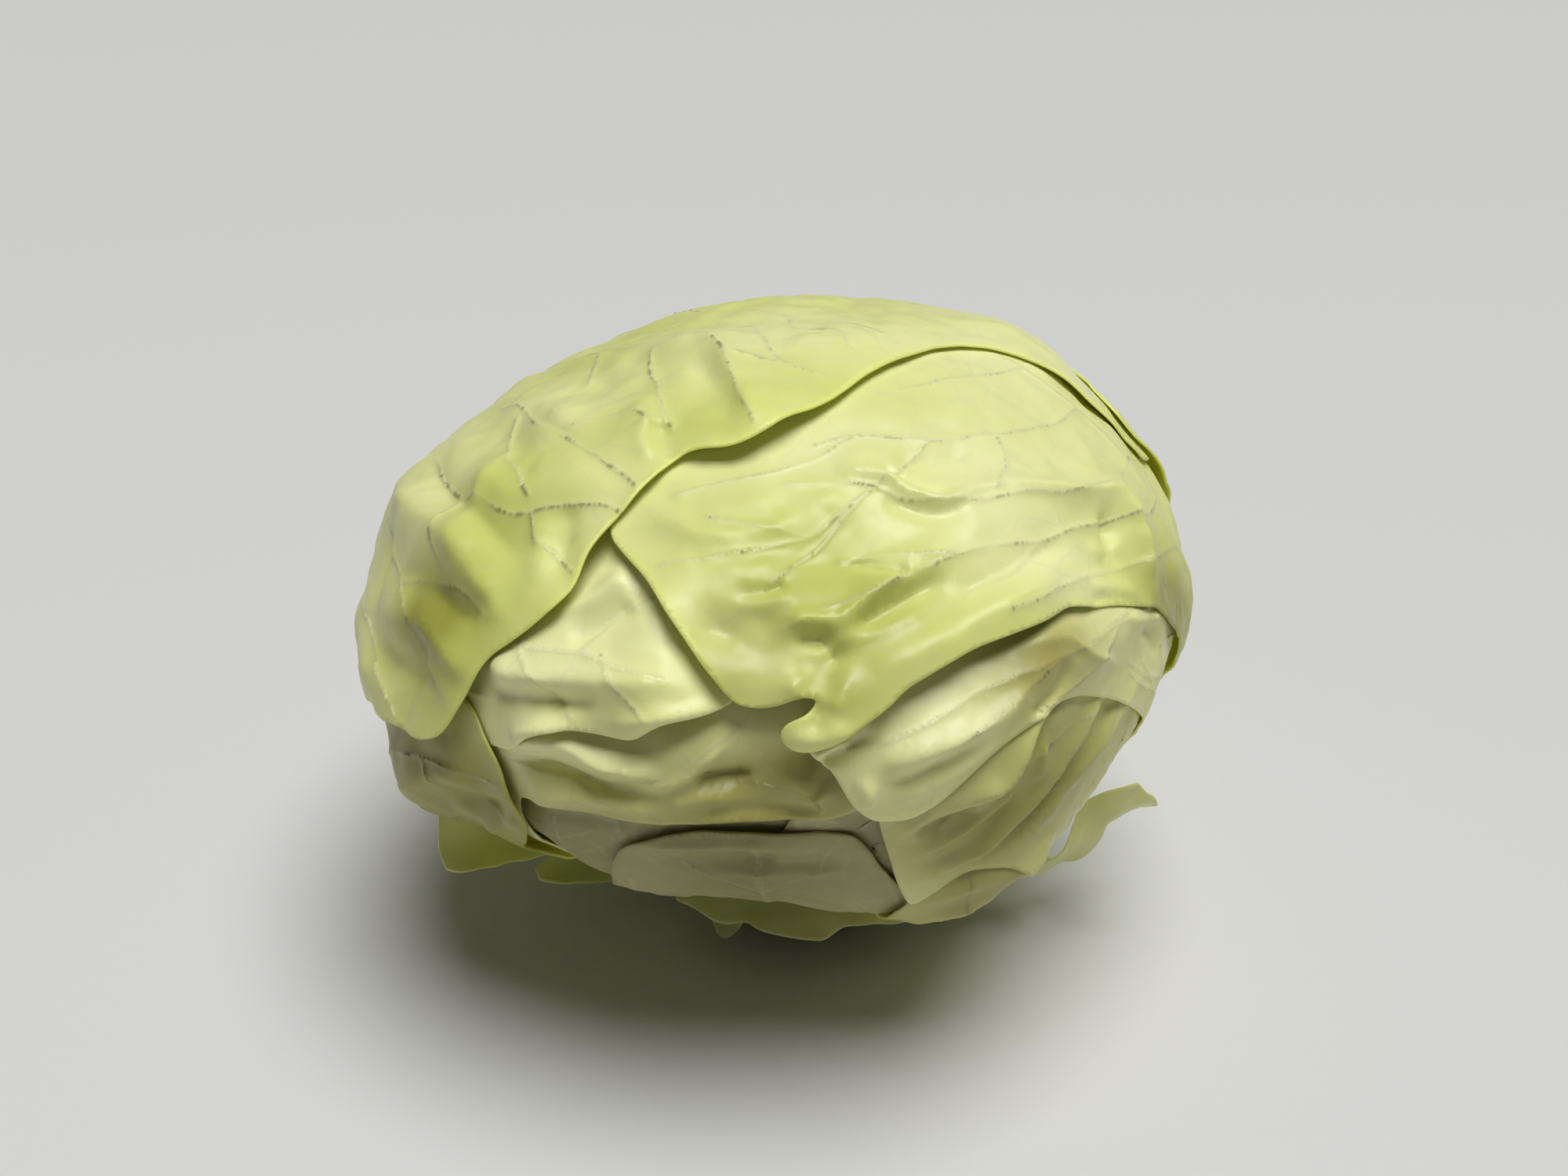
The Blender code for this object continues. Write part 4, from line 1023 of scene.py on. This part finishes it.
def stem_material():
    """Pale fibrous stem that is brown and dry at the cut."""
    look = bpy.context.scene.stem_look
    material, tree, shader = new_material("stem")
    place = add_node(tree, "ShaderNodeTexCoord").outputs["Object"]
    split = add_node(tree, "ShaderNodeSeparateXYZ")
    feed(tree, split.inputs[0], place)
    fibres = noise_texture(tree, place, scale=260.0, detail=4.0, roughness=0.6)
    patches = noise_texture(tree, place, scale=90.0, detail=3.0, roughness=0.6)
    ragged = math_node(tree, "MULTIPLY_ADD", patches, 0.010, -0.005)
    level = math_node(tree, "ADD", split.outputs[2], ragged)
    brown = map_range(tree, level, 0.0030, 0.0100, 1.0, 0.0)
    skin = mix_colour(tree, fibres, look.skin, SKIN_FIBRE)
    cut = mix_colour(tree, fibres, look.cut, CUT_FIBRE)
    add_bump(tree, shader, fibres, strength=0.7, distance=0.0008)
    feed_all(tree, shader, {"Base Color": mix_colour(tree, brown, skin, cut), "Roughness": 0.8,
                            "Subsurface Weight": 0.15, "Subsurface Scale": 0.002})
    return material


def slot_of(node):
    for part in frame["record"]["subparts"]:
        if part["node"] == node:
            return part["material_slot"]
    raise RuntimeError("no slot for " + node)


def set_material(thing, material):
    thing.data.materials.clear()
    thing.data.materials.append(material)


def finish_piece(piece, node, material):
    set_material(piece, material)
    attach(piece, "root")
    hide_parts(node)


class CABBAGE_OT_leaves(Operator):
    """Dress the leaves from the innermost to the outermost, and give the heart its colour"""
    bl_idname = "cabbage.leaves"
    bl_label = "Leaves"

    def execute(self, context):
        materials = leaf_materials()
        below = []
        for node in LEAF_ORDER:
            leaf, outer = make_leaf(node, below)
            finish_piece(leaf, node, materials[slot_of(node)])
            below.append(outer)
        set_material(frame["nodes"]["heart"], materials["heart_pale"])
        return {"FINISHED"}


def torn_piece(node, seed):
    """A finer, rounded copy of a torn piece with soft uneven shifts."""
    bm = welded_copy(node)
    for _ in range(TORN_LEVELS):
        bmesh.ops.subdivide_edges(bm, edges=bm.edges, cuts=1, use_grid_fill=True)
        bmesh.ops.triangulate(bm, faces=[f for f in bm.faces if len(f.verts) > 3])
        bmesh.ops.smooth_vert(bm, verts=bm.verts, factor=0.4, use_axis_x=True,
                              use_axis_y=True, use_axis_z=True)
    offset = Vector((seed, -seed, seed * 0.5))
    for vert in bm.verts:
        vert.co += noise.noise_vector(vert.co / TORN_BUMP_SIZE + offset) * TORN_BUMP
    mesh = bpy.data.meshes.new(node + "_piece")
    bm.to_mesh(mesh)
    bm.free()
    for name, value in (("vein", FAR_FROM_VEIN), ("border", FAR_FROM_BORDER)):
        set_attribute(mesh, name, np.full(len(mesh.vertices), value))
    mesh.shade_smooth()
    return add_object(node + "_piece", mesh)


class CABBAGE_OT_torn_leaves(Operator):
    """Make the torn leaf strips, lobes and collar"""
    bl_idname = "cabbage.torn_leaves"
    bl_label = "Torn leaves"

    def execute(self, context):
        material = bpy.data.materials["leaf torn"]
        for seed, node in enumerate(("torn_lobe_left", "torn_tip_left", "torn_strip_right",
                                     "torn_bit_front", "torn_collar")):
            finish_piece(torn_piece(node, 4.0 + seed), node, material)
        return {"FINISHED"}


class CABBAGE_OT_stem(Operator):
    """Give the cut stem its browned, fibrous look"""
    bl_idname = "cabbage.stem"
    bl_label = "Stem"

    def execute(self, context):
        set_material(frame["nodes"]["stem"], stem_material())
        return {"FINISHED"}


class CABBAGE_OT_stage(Operator):
    """Make the floor, the lights and the camera"""
    bl_idname = "cabbage.stage"
    bl_label = "Stage"

    def execute(self, context):
        scene = context.scene
        look = scene.stage_look
        bm = bmesh.new()
        bmesh.ops.create_grid(bm, x_segments=1, y_segments=1, size=FLOOR_SIZE)
        mesh = bpy.data.meshes.new("floor")
        bm.to_mesh(mesh)
        bm.free()
        material, tree, shader = new_material("floor")
        feed_all(tree, shader, {"Base Color": look.floor, "Roughness": 0.6})
        mesh.materials.append(material)
        add_object("floor", mesh)
        light = bpy.data.lights.new("main_light", "SUN")
        light.energy = look.key_strength
        light.angle = look.key_angle
        lamp = add_object("main_light", light)
        lamp.rotation_euler = Vector(LIGHT_FROM).to_track_quat("Z", "Y").to_euler()
        scene.world = bpy.data.worlds.new("surround")
        scene.world.use_nodes = True
        tree = scene.world.node_tree
        feed_all(tree, tree.nodes["Background"],
                 {"Color": (1.0, 1.0, 1.0), "Strength": look.surround})
        data = bpy.data.cameras.new("camera")
        data.lens = CAMERA_LENS
        data.sensor_width = CAMERA_SENSOR
        camera = add_object("camera", data)
        camera.location = CAMERA_PLACE
        camera.rotation_euler = (math.radians(90.0 - CAMERA_ELEVATION), 0.0, 0.0)
        scene.camera = camera
        scene.view_settings.view_transform = "Standard"
        return {"FINISHED"}


class CABBAGE_PT_sidebar(Panel):
    """Cabbage pieces and their sizes and colours"""
    bl_idname = "CABBAGE_PT_sidebar"
    bl_label = "Cabbage"
    bl_space_type = "VIEW_3D"
    bl_region_type = "UI"
    bl_category = "Cabbage"

    def draw(self, context):
        for name, group in GROUPS:
            box = self.layout.box()
            for item in group.__annotations__:
                box.prop(getattr(context.scene, name), item)
        for operator in OPERATORS:
            self.layout.operator(operator.bl_idname)


OPERATORS = (CABBAGE_OT_leaves, CABBAGE_OT_torn_leaves, CABBAGE_OT_stem, CABBAGE_OT_stage)
GROUPS = (("leaf_sizes", LeafSizes), ("leaf_colours", LeafColours), ("stem_look", StemLook),
          ("stage_look", StageLook))


def register():
    for name, group in GROUPS:
        bpy.utils.register_class(group)
        setattr(bpy.types.Scene, name, PointerProperty(type=group))
    for item in (*OPERATORS, CABBAGE_PT_sidebar):
        bpy.utils.register_class(item)


def unregister():
    for item in (CABBAGE_PT_sidebar, *reversed(OPERATORS)):
        bpy.utils.unregister_class(item)
    for name, group in reversed(GROUPS):
        delattr(bpy.types.Scene, name)
        bpy.utils.unregister_class(group)


def main():
    register()
    bpy.ops.cabbage.leaves()
    bpy.ops.cabbage.torn_leaves()
    bpy.ops.cabbage.stem()
    bpy.ops.cabbage.stage()


if __name__ == "__main__":
    main()
